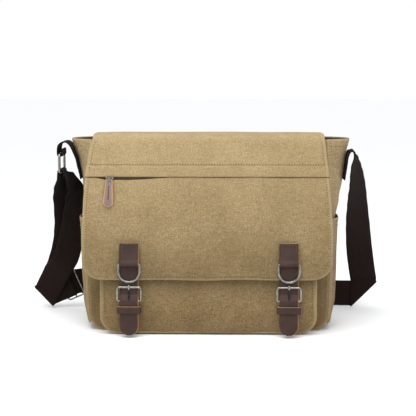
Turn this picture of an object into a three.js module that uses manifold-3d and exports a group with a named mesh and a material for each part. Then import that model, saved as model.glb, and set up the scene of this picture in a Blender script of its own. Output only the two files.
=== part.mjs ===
// A canvas messenger bag with a full-width flap, a zipped flap pocket, two leather
// strap-and-buckle closures over hidden snaps, and a webbing shoulder strap.
// Millimetres. +X is the bag's right as seen from its front, -Y is the front, +Z is up.
// The origin is the centre of the base, on the surface that the bag stands on.
import * as THREE from 'three';
import { mergeVertices } from 'three/addons/utils/BufferGeometryUtils.js';
import Module from 'manifold-3d';

const wasm = await Module();
wasm.setup();

// ---- Driving dimensions ----
const BODY_HEIGHT = 264;
const CORNER_RADIUS = 24;
const CANVAS = 2.4;              // lined body canvas
const THIN_CANVAS = 1.6;         // single flap and pocket canvas
const GAP = 0.35;                // clearance kept between touching pieces
const BASE_THICKNESS = 3;
const WEBBING_WIDTH = 38;
const WEBBING_THICKNESS = 2;

const RIDGE_Y = -42.5;           // front top ridge of the flap, middle of the cloth
const RIDGE_Z = 270;
const FLAP_TILT = THREE.MathUtils.degToRad(7.8);
const FLAP_LENGTH = 194.8;       // ridge to bottom edge, along the cloth
const FLAP_CORNER = 26;
const POCKET_HALF_WIDTH = 146;
const POCKET_TOP = 196;
const POCKET_SETBACK = 8;        // flap cloth to pocket cloth
const POCKET_CORNER = 22;
const POCKET_FLOOR = 3.2;

const CLOSURE_X = { left: -107, right: 109 };   // closure centre lines
const LEATHER_WIDTH = 25;

const ZIP_DEPTH = 57;            // ridge to zip chain, along the cloth
const ZIP_SLOT = 7;              // clear height of the slot in front of the chain
const ZIP_START = -146;
const ZIP_END = 150;
const SLIDER_X = -134;

// ---- Materials ----
const cloth = () => new THREE.MeshStandardMaterial({ color: 0xa58a55, roughness: 0.95 });
const lining = () => new THREE.MeshStandardMaterial({ color: 0x4a4234, roughness: 0.9 });
const leather = () => new THREE.MeshStandardMaterial({ color: 0x46291f, roughness: 0.5 });
const webbing = () => new THREE.MeshStandardMaterial({ color: 0x2a1c17, roughness: 0.85 });
const gunmetal = () => new THREE.MeshStandardMaterial({ color: 0x5b5852, roughness: 0.3, metalness: 1 });
const zipTape = () => new THREE.MeshStandardMaterial({ color: 0x2b2620, roughness: 0.85 });

// ---- Groups ----
const bag = new THREE.Group();
const flapPlane = new THREE.Group();   // local -Z runs down the flap, local -Y points out of it
flapPlane.position.set(0, RIDGE_Y, RIDGE_Z);
flapPlane.rotation.x = -FLAP_TILT;
bag.add(flapPlane);

function place(parent, name, geometry, material, position = [0, 0, 0], rotation = [0, 0, 0]) {
  const mesh = new THREE.Mesh(geometry, material);
  mesh.name = name;
  mesh.position.set(...position);
  mesh.rotation.set(...rotation);
  parent.add(mesh);
  return mesh;
}

// ---- Shape helpers ----
const mix = THREE.MathUtils.lerp;

// Straight-line interpolation through [position, value] pairs in rising order of position.
function profile(pairs, at) {
  if (at <= pairs[0][0]) return pairs[0][1];
  for (let i = 1; i < pairs.length; i++) {
    const [a, b] = [pairs[i - 1], pairs[i]];
    if (at <= b[0]) return mix(a[1], b[1], (at - a[0]) / (b[0] - a[0]));
  }
  return pairs[pairs.length - 1][1];
}

// A bent panel: a flat box of cells whose middle is laid on surface(u, v), u and v from 0 to 1,
// with its thickness along the surface's own normal.
function panel(columns, rows, thickness, surface) {
  const geometry = new THREE.BoxGeometry(1, 1, 1, columns, rows, 1);
  const position = geometry.attributes.position;
  const step = 1e-3;
  for (let i = 0; i < position.count; i++) {
    const u = position.getX(i) + 0.5;
    const v = position.getY(i) + 0.5;
    const side = position.getZ(i) * thickness;
    const alongU = surface(Math.min(1, u + step), v).sub(surface(Math.max(0, u - step), v));
    const alongV = surface(u, Math.min(1, v + step)).sub(surface(u, Math.max(0, v - step)));
    const normal = alongU.cross(alongV).normalize();
    const point = surface(u, v).addScaledVector(normal, side);
    position.setXYZ(i, point.x, point.y, point.z);
  }
  geometry.computeVertexNormals();
  return geometry;
}

// A strip of leather or cloth that follows a curve in the YZ plane, `halfWidth(v)` to each side in X.
function strip(rows, thickness, curve, halfWidth, columns = 2) {
  return panel(columns, rows, thickness, (u, v) => {
    const point = curve.getPoint(v);
    point.x = (2 * u - 1) * halfWidth(v);
    return point;
  });
}

// A flat ribbon through stations of { centre, across, normal }.
function ribbon(stations, thickness) {
  const geometry = new THREE.BoxGeometry(1, 1, 1, 1, stations.length - 1, 1);
  const position = geometry.attributes.position;
  for (let i = 0; i < position.count; i++) {
    const index = Math.round((position.getY(i) + 0.5) * (stations.length - 1));
    const { centre, across, normal } = stations[index];
    const point = centre.clone();
    point.addScaledVector(across, position.getX(i));
    point.addScaledVector(normal, position.getZ(i) * thickness);
    position.setXYZ(i, point.x, point.y, point.z);
  }
  matchDiagonals(geometry);
  geometry.computeVertexNormals();
  return geometry;
}

// Splits a box's back face along the same diagonals as its front, so a twisted ribbon keeps its thickness.
function matchDiagonals(geometry) {
  const index = geometry.index;
  const { start, count } = geometry.groups[5];
  for (let i = start; i < start + count; i += 6) {
    const [a, b, d] = [index.getX(i), index.getX(i + 1), index.getX(i + 2)];
    const c = index.getX(i + 4);
    [a, b, c, a, c, d].forEach((corner, k) => index.setX(i + k, corner));
  }
}

// A closed loop of round wire: a torus whose ring is laid along an outline in the XY plane.
function wireLoop(outline, wireRadius, sides = 8) {
  const count = outline.length;
  const geometry = new THREE.TorusGeometry(10, 1, sides, count);
  const position = geometry.attributes.position;
  for (let j = 0; j <= sides; j++) {
    const turn = (j / sides) * Math.PI * 2;
    for (let i = 0; i <= count; i++) {
      const here = outline[i % count];
      const before = outline[(i + count - 1) % count];
      const after = outline[(i + 1) % count];
      const outward = new THREE.Vector2(after.y - before.y, before.x - after.x).normalize();
      const reach = wireRadius * Math.cos(turn);
      position.setXYZ(j * (count + 1) + i, here.x + outward.x * reach, here.y + outward.y * reach,
        wireRadius * Math.sin(turn));
    }
  }
  geometry.computeVertexNormals();
  return geometry;
}

// Points round a rectangle with rounded corners, anticlockwise, centred on the origin.
function roundedRectangle(width, height, radius, perCorner = 4) {
  const points = [];
  const corners = [[1, 1, 0], [-1, 1, 1], [-1, -1, 2], [1, -1, 3]];
  for (const [signX, signY, quarter] of corners) {
    for (let i = 0; i <= perCorner; i++) {
      const angle = (quarter + i / perCorner) * Math.PI / 2;
      points.push(new THREE.Vector2(
        signX * (width / 2 - radius) + radius * Math.cos(angle),
        signY * (height / 2 - radius) + radius * Math.sin(angle)));
    }
  }
  return points;
}

function extruded(outline, depth, holes = []) {
  const shape = new THREE.Shape(outline);
  for (const hole of holes) shape.holes.push(new THREE.Path(hole));
  const geometry = new THREE.ExtrudeGeometry(shape, { depth, bevelEnabled: false, steps: 1 });
  geometry.translate(0, 0, -depth / 2);
  return geometry;
}

function toSolid(geometry) {
  const bare = geometry.clone();
  bare.deleteAttribute('normal');
  bare.deleteAttribute('uv');
  const merged = mergeVertices(bare, 1e-4);
  return new wasm.Manifold(new wasm.Mesh({
    numProp: 3,
    vertProperties: new Float32Array(merged.attributes.position.array),
    triVerts: new Uint32Array(merged.index.array),
  }));
}

function fromSolid(solid) {
  const mesh = solid.getMesh();
  const geometry = new THREE.BufferGeometry();
  geometry.setAttribute('position', new THREE.BufferAttribute(new Float32Array(mesh.vertProperties), 3));
  geometry.setIndex(new THREE.BufferAttribute(new Uint32Array(mesh.triVerts), 1));
  geometry.computeVertexNormals();
  return geometry;
}

const cut = (geometry, tool) => fromSolid(toSolid(geometry).subtract(toSolid(tool)));
const join = (first, second) => fromSolid(toSolid(first).add(toSolid(second)));

// ---- Body profiles, by height above the floor ----
const frontDepth = (z) => profile([[0, 36], [120, 36], [200, 34], [BODY_HEIGHT, 30]], z);
const backDepth = (z) => profile([[0, 47], [140, 47.5], [BODY_HEIGHT, 43]], z);
const halfWidth = (z) => profile([[0, 164], [40, 166], [110, 167], [200, 165], [BODY_HEIGHT, 160]], z);
const rightApex = [[0, 164], [30, 167], [120, 169.5], [140, 171], [160, 176], [178, 181], [209, 185],
  [236, 188.5], [250, 192], [BODY_HEIGHT, 195]];
const leftApex = [[0, 164], [30, 167], [120, 169.5], [150, 171], [180, 173], [209, 175], [236, 181],
  [252, 187], [BODY_HEIGHT, 191]];

// The side of the front and back panels: round the bottom corner, then up to the rim.
const CORNER_SHARE = 0.2;
function sideOutline(v, floor) {
  const width = halfWidth(CORNER_RADIUS);
  if (v < CORNER_SHARE) {
    const angle = (v / CORNER_SHARE) * Math.PI / 2;
    return {
      x: width - CORNER_RADIUS + CORNER_RADIUS * Math.sin(angle),
      z: floor + CORNER_RADIUS * (1 - Math.cos(angle)),
      outward: new THREE.Vector3(Math.sin(angle), 0, -Math.cos(angle)),
    };
  }
  const z = mix(floor + CORNER_RADIUS, BODY_HEIGHT, (v - CORNER_SHARE) / (1 - CORNER_SHARE));
  return { x: halfWidth(z), z, outward: new THREE.Vector3(1, 0, 0) };
}

function uprightPanel(depthAt, sign) {
  return panel(6, 20, CANVAS, (u, v) => {
    const { x, z } = sideOutline(v, 0.6);
    return new THREE.Vector3((2 * u - 1) * x, sign * depthAt(z), z);
  });
}

place(bag, 'front_panel', uprightPanel(frontDepth, -1), cloth());
place(bag, 'back_panel', uprightPanel(backDepth, 1), cloth());

const GUSSET_TUCK = 1;                 // the gussets' edges lie this far inside the panels' edges
const baseLength = 2 * (halfWidth(CORNER_RADIUS) - CORNER_RADIUS - GUSSET_TUCK - GAP);
const baseFront = frontDepth(0) - CANVAS / 2 - GAP;
const baseBack = backDepth(0) - CANVAS / 2 - GAP;
place(bag, 'base_panel', new THREE.BoxGeometry(baseLength, baseFront + baseBack, BASE_THICKNESS),
  cloth(), [0, (baseBack - baseFront) / 2, BASE_THICKNESS / 2]);

// Gussets: the side walls, pushed out into a soft ridge that flares towards the rim.
const EDGE_INSET = 2.7;
function gusset(side, apex) {
  return panel(10, 22, CANVAS, (u, v) => {
    const { x, z, outward } = sideOutline(v, 1.5);
    const across = side > 0 ? u : 1 - u;
    const y = mix(EDGE_INSET - frontDepth(z), backDepth(z) - EDGE_INSET, across);
    const bulge = (1 - Math.abs(2 * u - 1) ** 2.4) * Math.max(0, profile(apex, z) - halfWidth(z));
    const point = new THREE.Vector3(x - GUSSET_TUCK, y, z).addScaledVector(outward, bulge * Math.min(1, v / 0.2));
    point.x *= side;
    return point;
  });
}
place(bag, 'right_gusset', gusset(1, rightApex), cloth());
place(bag, 'left_gusset', gusset(-1, leftApex), cloth());

// Side pockets: a patch of canvas standing off each gusset, open at the top.
const SIDE_POCKET_TOP = 156;
const SIDE_POCKET_FLOOR = 16;
const sidePocketApex = [[0, 168], [16, 172], [40, 176.5], [90, 178.5], [SIDE_POCKET_TOP, 180]];
function sidePocket(side) {
  return panel(10, 12, THIN_CANVAS, (u, v) => {
    const z = mix(SIDE_POCKET_FLOOR, SIDE_POCKET_TOP, v);
    const across = side > 0 ? u : 1 - u;
    const y = mix(6 - frontDepth(z), backDepth(z) - 6, across);
    const edge = halfWidth(z) + 3.4;
    const rise = (1 - Math.abs(2 * u - 1) ** 4) * (profile(sidePocketApex, z) - edge);
    return new THREE.Vector3(side * (edge + rise), y, z);
  });
}
place(bag, 'right_side_pocket', sidePocket(1), cloth());
place(bag, 'left_side_pocket', sidePocket(-1), cloth());

// Padded divider that makes the laptop sleeve against the back.
place(bag, 'laptop_divider', new THREE.BoxGeometry(300, 5, 206, 2, 1, 2), lining(), [0, 27, 109]);

// ---- Front pocket ----
const flapFrontY = (z) => RIDGE_Y - (RIDGE_Z - z) * Math.tan(FLAP_TILT);
function pocketY(z) {
  const belly = 34;
  const low = Math.max(0, belly - z) / belly;
  return flapFrontY(Math.max(z, belly)) + POCKET_SETBACK + 7 * low * low;
}

function pocketOutline(v) {
  const share = 0.2;
  if (v < share) {
    const angle = (v / share) * Math.PI / 2;
    return {
      x: POCKET_HALF_WIDTH - POCKET_CORNER + POCKET_CORNER * Math.sin(angle),
      z: POCKET_FLOOR + POCKET_CORNER * (1 - Math.cos(angle)),
      outward: new THREE.Vector3(Math.sin(angle), 0, -Math.cos(angle)),
    };
  }
  const z = mix(POCKET_FLOOR + POCKET_CORNER, POCKET_TOP, (v - share) / (1 - share));
  return { x: POCKET_HALF_WIDTH, z, outward: new THREE.Vector3(1, 0, 0) };
}

place(bag, 'front_pocket_panel', panel(6, 18, THIN_CANVAS, (u, v) => {
  const { x, z } = pocketOutline(v);
  return new THREE.Vector3((2 * u - 1) * x, pocketY(z), z);
}), cloth());

// The pocket's bellows runs down one side, along the bottom and up the other side.
const BELLOWS_INSET = 2.2;
place(bag, 'front_pocket_gusset', panel(4, 44, THIN_CANVAS, (u, v) => {
  const bottomShare = 0.12;
  const fromMiddle = Math.abs(2 * v - 1);
  const side = v < 0.5 ? -1 : 1;
  const onSide = Math.max(0, (fromMiddle - bottomShare) / (1 - bottomShare));
  const { x, z, outward } = pocketOutline(onSide);
  const along = fromMiddle < bottomShare ? x * fromMiddle / bottomShare : x;
  const front = pocketY(z) + BELLOWS_INSET;
  const back = -frontDepth(z) - CANVAS / 2 - THIN_CANVAS / 2 - 0.4;
  const fold = Math.sin(Math.PI * u) * Math.min(4, z * 0.05);
  const point = new THREE.Vector3(along - 1.4, mix(front, back, u), z).addScaledVector(outward, -fold);
  point.x *= side;
  return point;
}), cloth());

// ---- Flap ----
const FLAP_HINGE_Y = 49;
const FLAP_HINGE_Z = 268;
const flapHalfWidth = (depth) => profile([[-90, 155], [0, 155.7], [21, 160], [55, 164.6], [97, 168], [135, 169.8],
  [200, 168.7]], depth);
const flapMiddle = (depth) => profile([[0, 0], [21, -1.5], [55, -2.3], [135, -1.6], [200, -1.7]], depth);

place(bag, 'flap_back_hem', panel(2, 6, THIN_CANVAS, (u, v) => {
  const z = mix(232, 265, v);
  return new THREE.Vector3((2 * u - 1) * 154, backDepth(z) + CANVAS / 2 + THIN_CANVAS / 2 + GAP, z);
}), cloth());

place(bag, 'flap_top', panel(6, 10, CANVAS, (u, v) => {
  const y = mix(-38.5, 47, v);
  const crown = 1.5 * Math.sin(Math.PI * v);
  return new THREE.Vector3((2 * u - 1) * 154.5, y, mix(270, 268.4, v) + crown);
}), cloth());

// A panel of the flap between two depths below the ridge, `out` in front of the outer cloth.
function flapPanel(top, bottom, out, thickness, inset, rows, rounded = 0) {
  return panel(6, rows, thickness, (u, v) => {
    const fromBottom = (bottom - top) * v;
    let half = flapHalfWidth(bottom - fromBottom) - inset;
    if (rounded && fromBottom < rounded) {
      half -= rounded - Math.sqrt(rounded ** 2 - (rounded - fromBottom) ** 2);
    }
    return new THREE.Vector3(flapMiddle(bottom - fromBottom) + (2 * u - 1) * half, -out, fromBottom - bottom);
  });
}

const slotTop = ZIP_DEPTH - ZIP_SLOT / 2;
const slotBottom = ZIP_DEPTH + ZIP_SLOT / 2;
place(flapPlane, 'flap_yoke', flapPanel(3, slotTop, 0, THIN_CANVAS, 0, 4), cloth());
place(flapPlane, 'flap_lower', flapPanel(slotBottom, FLAP_LENGTH, 0, THIN_CANVAS, 0, 24, FLAP_CORNER), cloth());
place(flapPlane, 'flap_lining', flapPanel(6, FLAP_LENGTH - 2, -4.2, 1.2, 2, 24, FLAP_CORNER), lining());

// ---- Zip ----
const ZIP_BEHIND = 2.1;
const TAPE_HEIGHT = 12;
const CHAIN_HEIGHT = 4.4;
const zipLength = ZIP_END - ZIP_START;
const zipMiddle = (ZIP_START + ZIP_END) / 2;
const tapeCentre = CHAIN_HEIGHT / 2 + GAP + TAPE_HEIGHT / 2;
place(flapPlane, 'zip_tape_upper', new THREE.BoxGeometry(zipLength, 0.8, TAPE_HEIGHT), zipTape(),
  [zipMiddle, ZIP_BEHIND, -ZIP_DEPTH + tapeCentre]);
place(flapPlane, 'zip_tape_lower', new THREE.BoxGeometry(zipLength, 0.8, TAPE_HEIGHT), zipTape(),
  [zipMiddle, ZIP_BEHIND, -ZIP_DEPTH - tapeCentre]);
place(flapPlane, 'zip_chain', new THREE.BoxGeometry(zipLength - 14, 1.2, CHAIN_HEIGHT), gunmetal(),
  [zipMiddle, ZIP_BEHIND, -ZIP_DEPTH]);
for (const [name, x] of [['zip_start_stop', ZIP_START + 3], ['zip_end_stop', ZIP_END - 3]]) {
  place(flapPlane, name, new THREE.BoxGeometry(3, 1.6, CHAIN_HEIGHT), gunmetal(), [x, ZIP_BEHIND, -ZIP_DEPTH]);
}

// The slider: a plate in the slot with a crown on its face that the pull's link hooks round.
const CROWN_RADIUS = 2.6;
const CROWN_WIRE = 0.8;
const SLIDER_FACE = 1.7;
const CROWN_OUT = SLIDER_FACE + 0.6 + CROWN_RADIUS;
const sliderPlate = new THREE.BoxGeometry(11, 2.7, 6);
sliderPlate.translate(0, 1.35 - SLIDER_FACE, 0);
const sliderCrown = new THREE.TorusGeometry(CROWN_RADIUS, CROWN_WIRE, 8, 20);
sliderCrown.translate(0, CROWN_RADIUS - CROWN_OUT, 0);
place(flapPlane, 'zip_slider', join(sliderPlate, sliderCrown), gunmetal(), [SLIDER_X, 0, -ZIP_DEPTH]);

// The pull: a wire link round the crown, and a leather tab hanging on the link.
const LINK_WIRE = 0.6;
const LINK_HEIGHT = 5.6;
const linkTop = CROWN_WIRE + LINK_WIRE + 0.3;
const linkBottom = linkTop - LINK_HEIGHT;
place(flapPlane, 'zip_pull_link', wireLoop(roundedRectangle(LINK_HEIGHT, 4.6, 2), LINK_WIRE), gunmetal(),
  [SLIDER_X, -CROWN_OUT, -ZIP_DEPTH + (linkTop + linkBottom) / 2], [0, Math.PI / 2, 0]);

const PULL_LENGTH = 38;
function pullOutline() {
  const points = [];
  const topHalf = 4.2;
  const lowHalf = 6.2;
  for (let i = 0; i <= 6; i++) {
    const angle = Math.PI + (i / 6) * Math.PI;
    points.push(new THREE.Vector2(lowHalf * Math.cos(angle), -PULL_LENGTH + lowHalf * (1 + Math.sin(angle))));
  }
  for (let i = 0; i <= 6; i++) {
    const angle = (i / 6) * Math.PI;
    points.push(new THREE.Vector2(topHalf * Math.cos(angle), topHalf * (Math.sin(angle) - 1)));
  }
  return points;
}
const PULL_HOLE_DEPTH = 3.6;
const PULL_HOLE_RADIUS = 1.7;
const pullHole = new THREE.Path().absarc(0, -PULL_HOLE_DEPTH, PULL_HOLE_RADIUS, 0, Math.PI * 2)
  .getPoints(8).slice(0, -1);
const pullTop = linkBottom - (PULL_HOLE_RADIUS - LINK_WIRE - 0.3) + PULL_HOLE_DEPTH;
place(flapPlane, 'zip_pull_tab', extruded(pullOutline(), 2, [pullHole]), leather(),
  [SLIDER_X, -CROWN_OUT, -ZIP_DEPTH + pullTop], [Math.PI / 2, 0, 0]);

// ---- Leather closures, laid out from the flap's front face, depths measured from the ridge ----
const face = THIN_CANVAS / 2;
const LEATHER = 1.8;
const STRAP_OUT = 1.2;                    // middle of the strap, in front of the flap's face
const PATCH_TOP = 145;
const RING_BAR = 173;                     // D-ring bar, inside the patch's fold
const RING_WIRE = 1.8;
const BUCKLE_TOP = 204.5;
const BUCKLE_BAR = 223;                   // bar that the prong and frame turn on
const BUCKLE_WIRE = 1.6;
const KEEPER_DEPTH = 235.5;
const KEEPER_HEIGHT = 9;
const STRAP_TIP = 269;
const SNAP_DEPTH = 250;
const BACKING_OUT = -0.9;
const barOut = BACKING_OUT + 0.6 + GAP + BUCKLE_WIRE;
const BULGE_ROOM = 0.5;                // between the buckle's bar and the leather over it
const bulgeOut = barOut + BUCKLE_WIRE + BULGE_ROOM + LEATHER / 2;

// A curve in the closure's own plane through [out, depth] points.
function closureCurve(points) {
  const curve = new THREE.CurvePath();
  const at = ([out, depth]) => new THREE.Vector3(0, -out, -depth);
  for (let i = 1; i < points.length; i++) curve.add(new THREE.LineCurve3(at(points[i - 1]), at(points[i])));
  return curve;
}

function closureStrap() {
  const top = PATCH_TOP + 4;
  const length = STRAP_TIP - top;
  const tip = LEATHER_WIDTH / 2 - 0.5;
  const outAt = (depth) => mix(STRAP_OUT, bulgeOut, Math.max(0, 1 - Math.abs(depth - BUCKLE_BAR) / 7.8) ** 0.72);
  const body = panel(2, 40, LEATHER, (u, v) => {
    const depth = mix(STRAP_TIP, top, v);
    const fromTip = length * v;
    const half = fromTip < tip ? Math.sqrt(tip ** 2 - (tip - fromTip) ** 2) : tip;
    return new THREE.Vector3((2 * u - 1) * Math.max(half, 3), -outAt(depth), -depth);
  });
  return cut(body, prongSlot());
}

function prongSlot() {
  const slot = new THREE.BoxGeometry(4.6, 40, 12);
  slot.translate(0, 0, -BUCKLE_BAR + 1.5);
  return slot;
}

function strapBacking() {
  const curve = closureCurve([[BACKING_OUT, 260], [BACKING_OUT, 212]]);
  return cut(strip(4, 1.2, curve, () => 11), prongSlot());
}

// The patch: a folded strip, its lower end wrapped round the D-ring's bar.
const ringOut = STRAP_OUT + LEATHER / 2 + GAP + 1.6 + GAP + RING_WIRE;
function closurePatch() {
  const wrap = RING_WIRE + GAP + 0.8;
  const back = ringOut - wrap;
  const points = [[back, RING_BAR - 12], [back, RING_BAR]];
  for (let i = 1; i <= 6; i++) {
    const angle = Math.PI - (i / 6) * Math.PI;
    points.push([ringOut + wrap * Math.cos(angle), RING_BAR + wrap * Math.sin(angle)]);
  }
  points.push([ringOut + wrap - 0.6, RING_BAR - 6]);
  points.push([back + 2.4, RING_BAR - 15]);
  points.push([back + 0.4, PATCH_TOP]);
  return strip(24, 1.6, closureCurve(points), () => LEATHER_WIDTH / 2 - 0.1, 1);
}

function dOutline() {
  const half = 14.6;
  const points = [];
  for (let i = 0; i <= 14; i++) {
    const angle = Math.PI + (i / 14) * Math.PI;
    points.push(new THREE.Vector2(half * Math.cos(angle), -9 + 15.4 * Math.sin(angle)));
  }
  points.push(new THREE.Vector2(half, -3));
  points.push(new THREE.Vector2(half - 0.4, -1));
  points.push(new THREE.Vector2(half - 1.4, 0));
  points.push(new THREE.Vector2(0, 0));
  points.push(new THREE.Vector2(1.4 - half, 0));
  points.push(new THREE.Vector2(0.4 - half, -1));
  points.push(new THREE.Vector2(-half, -3));
  return points;
}

// The prong: hooked under and in front of its bar, then up and over the frame's top bar.
function prong(topOut) {
  const wrap = BUCKLE_WIRE + GAP + 0.6;
  const points = [];
  for (let i = 0; i <= 5; i++) {
    const angle = Math.PI * 1.1 - (i / 5) * Math.PI * 1.1;
    points.push([barOut + wrap * Math.cos(angle), BUCKLE_BAR + wrap * Math.sin(angle)]);
  }
  points.push([barOut + wrap + 1, BUCKLE_BAR - 6]);
  points.push([topOut, BUCKLE_TOP + 3]);
  points.push([topOut + 0.3, BUCKLE_TOP - 3]);
  return strip(18, 1.2, closureCurve(points), () => 1.5, 1);
}

const keeperInside = roundedRectangle(28.8, STRAP_OUT + LEATHER / 2 - BACKING_OUT + 0.6 + 2 * GAP + 0.2, 1, 1);
const keeperOutside = roundedRectangle(32.6, STRAP_OUT + LEATHER / 2 - BACKING_OUT + 0.6 + 2 * GAP + 3.8, 2, 2);
const keeperOut = (STRAP_OUT + LEATHER / 2 + BACKING_OUT - 0.6) / 2;
const socketOut = -(POCKET_SETBACK - THIN_CANVAS / 2 - GAP - 0.8) - face;
const frameTilt = Math.atan2(STRAP_OUT + LEATHER / 2 + GAP + BUCKLE_WIRE - barOut, BUCKLE_BAR - BUCKLE_TOP);
const ringTilt = Math.asin((ringOut - STRAP_OUT - LEATHER / 2 - GAP - RING_WIRE) / 24.4);

function addClosure(side, x) {
  const group = new THREE.Group();
  group.position.set(x, -face, 0);
  flapPlane.add(group);
  const quarterTurn = Math.PI / 2;
  place(group, `${side}_closure_patch`, closurePatch(), leather());
  place(group, `${side}_closure_strap`, closureStrap(), leather());
  place(group, `${side}_strap_backing`, strapBacking(), leather());
  place(group, `${side}_keeper`, extruded(keeperOutside, KEEPER_HEIGHT, [keeperInside]), leather(),
    [0, -keeperOut, -KEEPER_DEPTH]);
  place(group, `${side}_d_ring`, wireLoop(dOutline(), RING_WIRE), gunmetal(),
    [0, -ringOut, -RING_BAR], [quarterTurn + ringTilt, 0, 0]);

  const height = Math.hypot(BUCKLE_BAR - BUCKLE_TOP, Math.tan(frameTilt) * (BUCKLE_BAR - BUCKLE_TOP));
  const frame = wireLoop(roundedRectangle(32, height, 3), BUCKLE_WIRE);
  frame.translate(0, height / 2, 0);
  place(group, `${side}_buckle_frame`, frame, gunmetal(),
    [0, -barOut, -BUCKLE_BAR], [quarterTurn + frameTilt, 0, 0]);
  const topBarOut = STRAP_OUT + LEATHER / 2 + GAP + BUCKLE_WIRE;
  place(group, `${side}_buckle_prong`, prong(topBarOut + BUCKLE_WIRE + GAP + 0.6), gunmetal());

  place(group, `${side}_snap_stud`, new THREE.CylinderGeometry(7, 7, 1.8, 16), gunmetal(),
    [0, -(BACKING_OUT - 0.6 - GAP - 0.9), -SNAP_DEPTH]);
  place(group, `${side}_snap_socket`, new THREE.CylinderGeometry(7.5, 7.5, 1.6, 16), gunmetal(),
    [0, -socketOut, -SNAP_DEPTH]);
}
addClosure('left', CLOSURE_X.left);
addClosure('right', CLOSURE_X.right);

// ---- Shoulder strap ----
const LEFT_ARC = new THREE.Vector3(-200, 0, 260);
const RIGHT_ARC = new THREE.Vector3(197.5, 0, 247.5);
const ARC_GAP = 0.75;                  // half the clearance between each sewn tab and the strap
const RING_X = -206.5;
const RING_TOP = 243.5;
const RING_HEIGHT = 25;
const RECTANGLE_WIRE = 1.8;
const barWrap = RECTANGLE_WIRE + GAP + WEBBING_THICKNESS / 2;

// Webbing laid through a path of [x, y, z, degrees], the degrees turning its width from Y towards X.
function webbingStations(path) {
  const stations = [];
  const at = path.map(([x, y, z]) => new THREE.Vector3(x, y, z));
  for (let i = 0; i < path.length; i++) {
    const before = at[Math.max(0, i - 1)];
    const after = at[Math.min(path.length - 1, i + 1)];
    const along = after.clone().sub(before).normalize();
    const turn = THREE.MathUtils.degToRad(path[i][3] ?? 0);
    const width = new THREE.Vector3(Math.sin(turn), Math.cos(turn), 0);
    width.addScaledVector(along, -width.dot(along)).normalize();
    const normal = width.clone().cross(along).normalize();
    stations.push({ centre: at[i], across: width.multiplyScalar(WEBBING_WIDTH), normal });
  }
  return stations;
}

const onGusset = (apex, z) => profile(apex, z) + CANVAS / 2 + GAP + WEBBING_THICKNESS / 2 + 0.4;

// Right anchor: webbing sewn up the gusset's ridge, then turned outwards at the top.
const rightAnchor = [208, 216, 224, 232].map((z) => [onGusset(rightApex, z), 0, z]);
rightAnchor.push([191.8, 0, 239], [193.6, 0, 244.5], [195.3, 0, 247.2], [RIGHT_ARC.x - ARC_GAP, 0, 247.5]);
place(bag, 'right_strap_anchor', ribbon(webbingStations(rightAnchor), WEBBING_THICKNESS), webbing());

// Left tab: sewn up the other gusset's ridge, then out over the ring.
const leftTab = [209, 218, 227, 236, 245].map((z) => [-onGusset(leftApex, z), 0, z]);
leftTab.push([-191.5, 0, 254], [-195.5, 0, 258.8], [-197.6, 0, 260], [LEFT_ARC.x + ARC_GAP, 0, 260]);
place(bag, 'left_strap_tab', ribbon(webbingStations(leftTab), WEBBING_THICKNESS), webbing());

const tabLoop = [[LEFT_ARC.x - ARC_GAP, 0, 260], [-202.2, 0, 260], [-205.2, 0, 258.8], [-208.4, 0, 256], [RING_X - barWrap, 0, 250],
  [RING_X - barWrap, 0, RING_TOP]];
for (let i = 1; i <= 6; i++) {
  const angle = Math.PI + (i / 6) * Math.PI;
  tabLoop.push([RING_X + barWrap * Math.cos(angle), 0, RING_TOP + barWrap * Math.sin(angle)]);
}
tabLoop.push([RING_X + barWrap - 0.2, 0, 249]);
place(bag, 'left_tab_loop', ribbon(webbingStations(tabLoop), WEBBING_THICKNESS), webbing());

place(bag, 'strap_ring', wireLoop(roundedRectangle(RING_HEIGHT, 45, 4), RECTANGLE_WIRE), gunmetal(),
  [RING_X, 0, RING_TOP - RING_HEIGHT / 2], [0, Math.PI / 2, 0]);

// The webbing is one long piece.  It leaves the right anchor, folds flat at the floor behind the
// bag, runs across to the slide buckle, folds at the left corner, climbs to the ring and returns.
const FRONTWARD = new THREE.Vector3(0, -1, 0);
const BACKWARD = new THREE.Vector3(0, 1, 0);
const RIGHT_FOLD = { inner: 213.5, floor: 3.2, y: 107, radius: 1.4 };
const LEFT_FOLD = { centre: new THREE.Vector3(-251, 101, 19.6), lean: THREE.MathUtils.degToRad(47) };
const OUTER_RADIUS = 3.8;              // of the two layers nested in the left fold
const INNER_RADIUS = 1.3;
const RUN_IN_SLOPE = THREE.MathUtils.degToRad(24);

// Stations round a flat fold: the ribbon doubles back over a crease line.  `start` points from
// the fold's centre to the arriving layer, and `facing` is the ribbon's normal along it (1 or -1).
function foldStations(centre, crease, outward, start, facing, radius, steps = 4) {
  const stations = [];
  for (let i = 0; i <= steps; i++) {
    const angle = (i / steps) * Math.PI;
    const reach = start.clone().multiplyScalar(Math.cos(angle)).addScaledVector(outward, Math.sin(angle));
    stations.push({
      centre: centre.clone().addScaledVector(reach, radius),
      across: crease.clone(),
      normal: reach.clone().multiplyScalar(facing),
    });
  }
  return stations;
}

// Stations through [x, y, z] points with the width upright and one face kept to `normal`.
function uprightStations(points, normal) {
  const at = points.map((point) => new THREE.Vector3(...point));
  return at.map((centre, i) => {
    const before = at[Math.max(0, i - 1)];
    const after = at[Math.min(at.length - 1, i + 1)];
    const across = after.clone().sub(before).setY(0).cross(normal).normalize();
    return { centre, across: across.multiplyScalar(WEBBING_WIDTH), normal: normal.clone() };
  });
}

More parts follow.
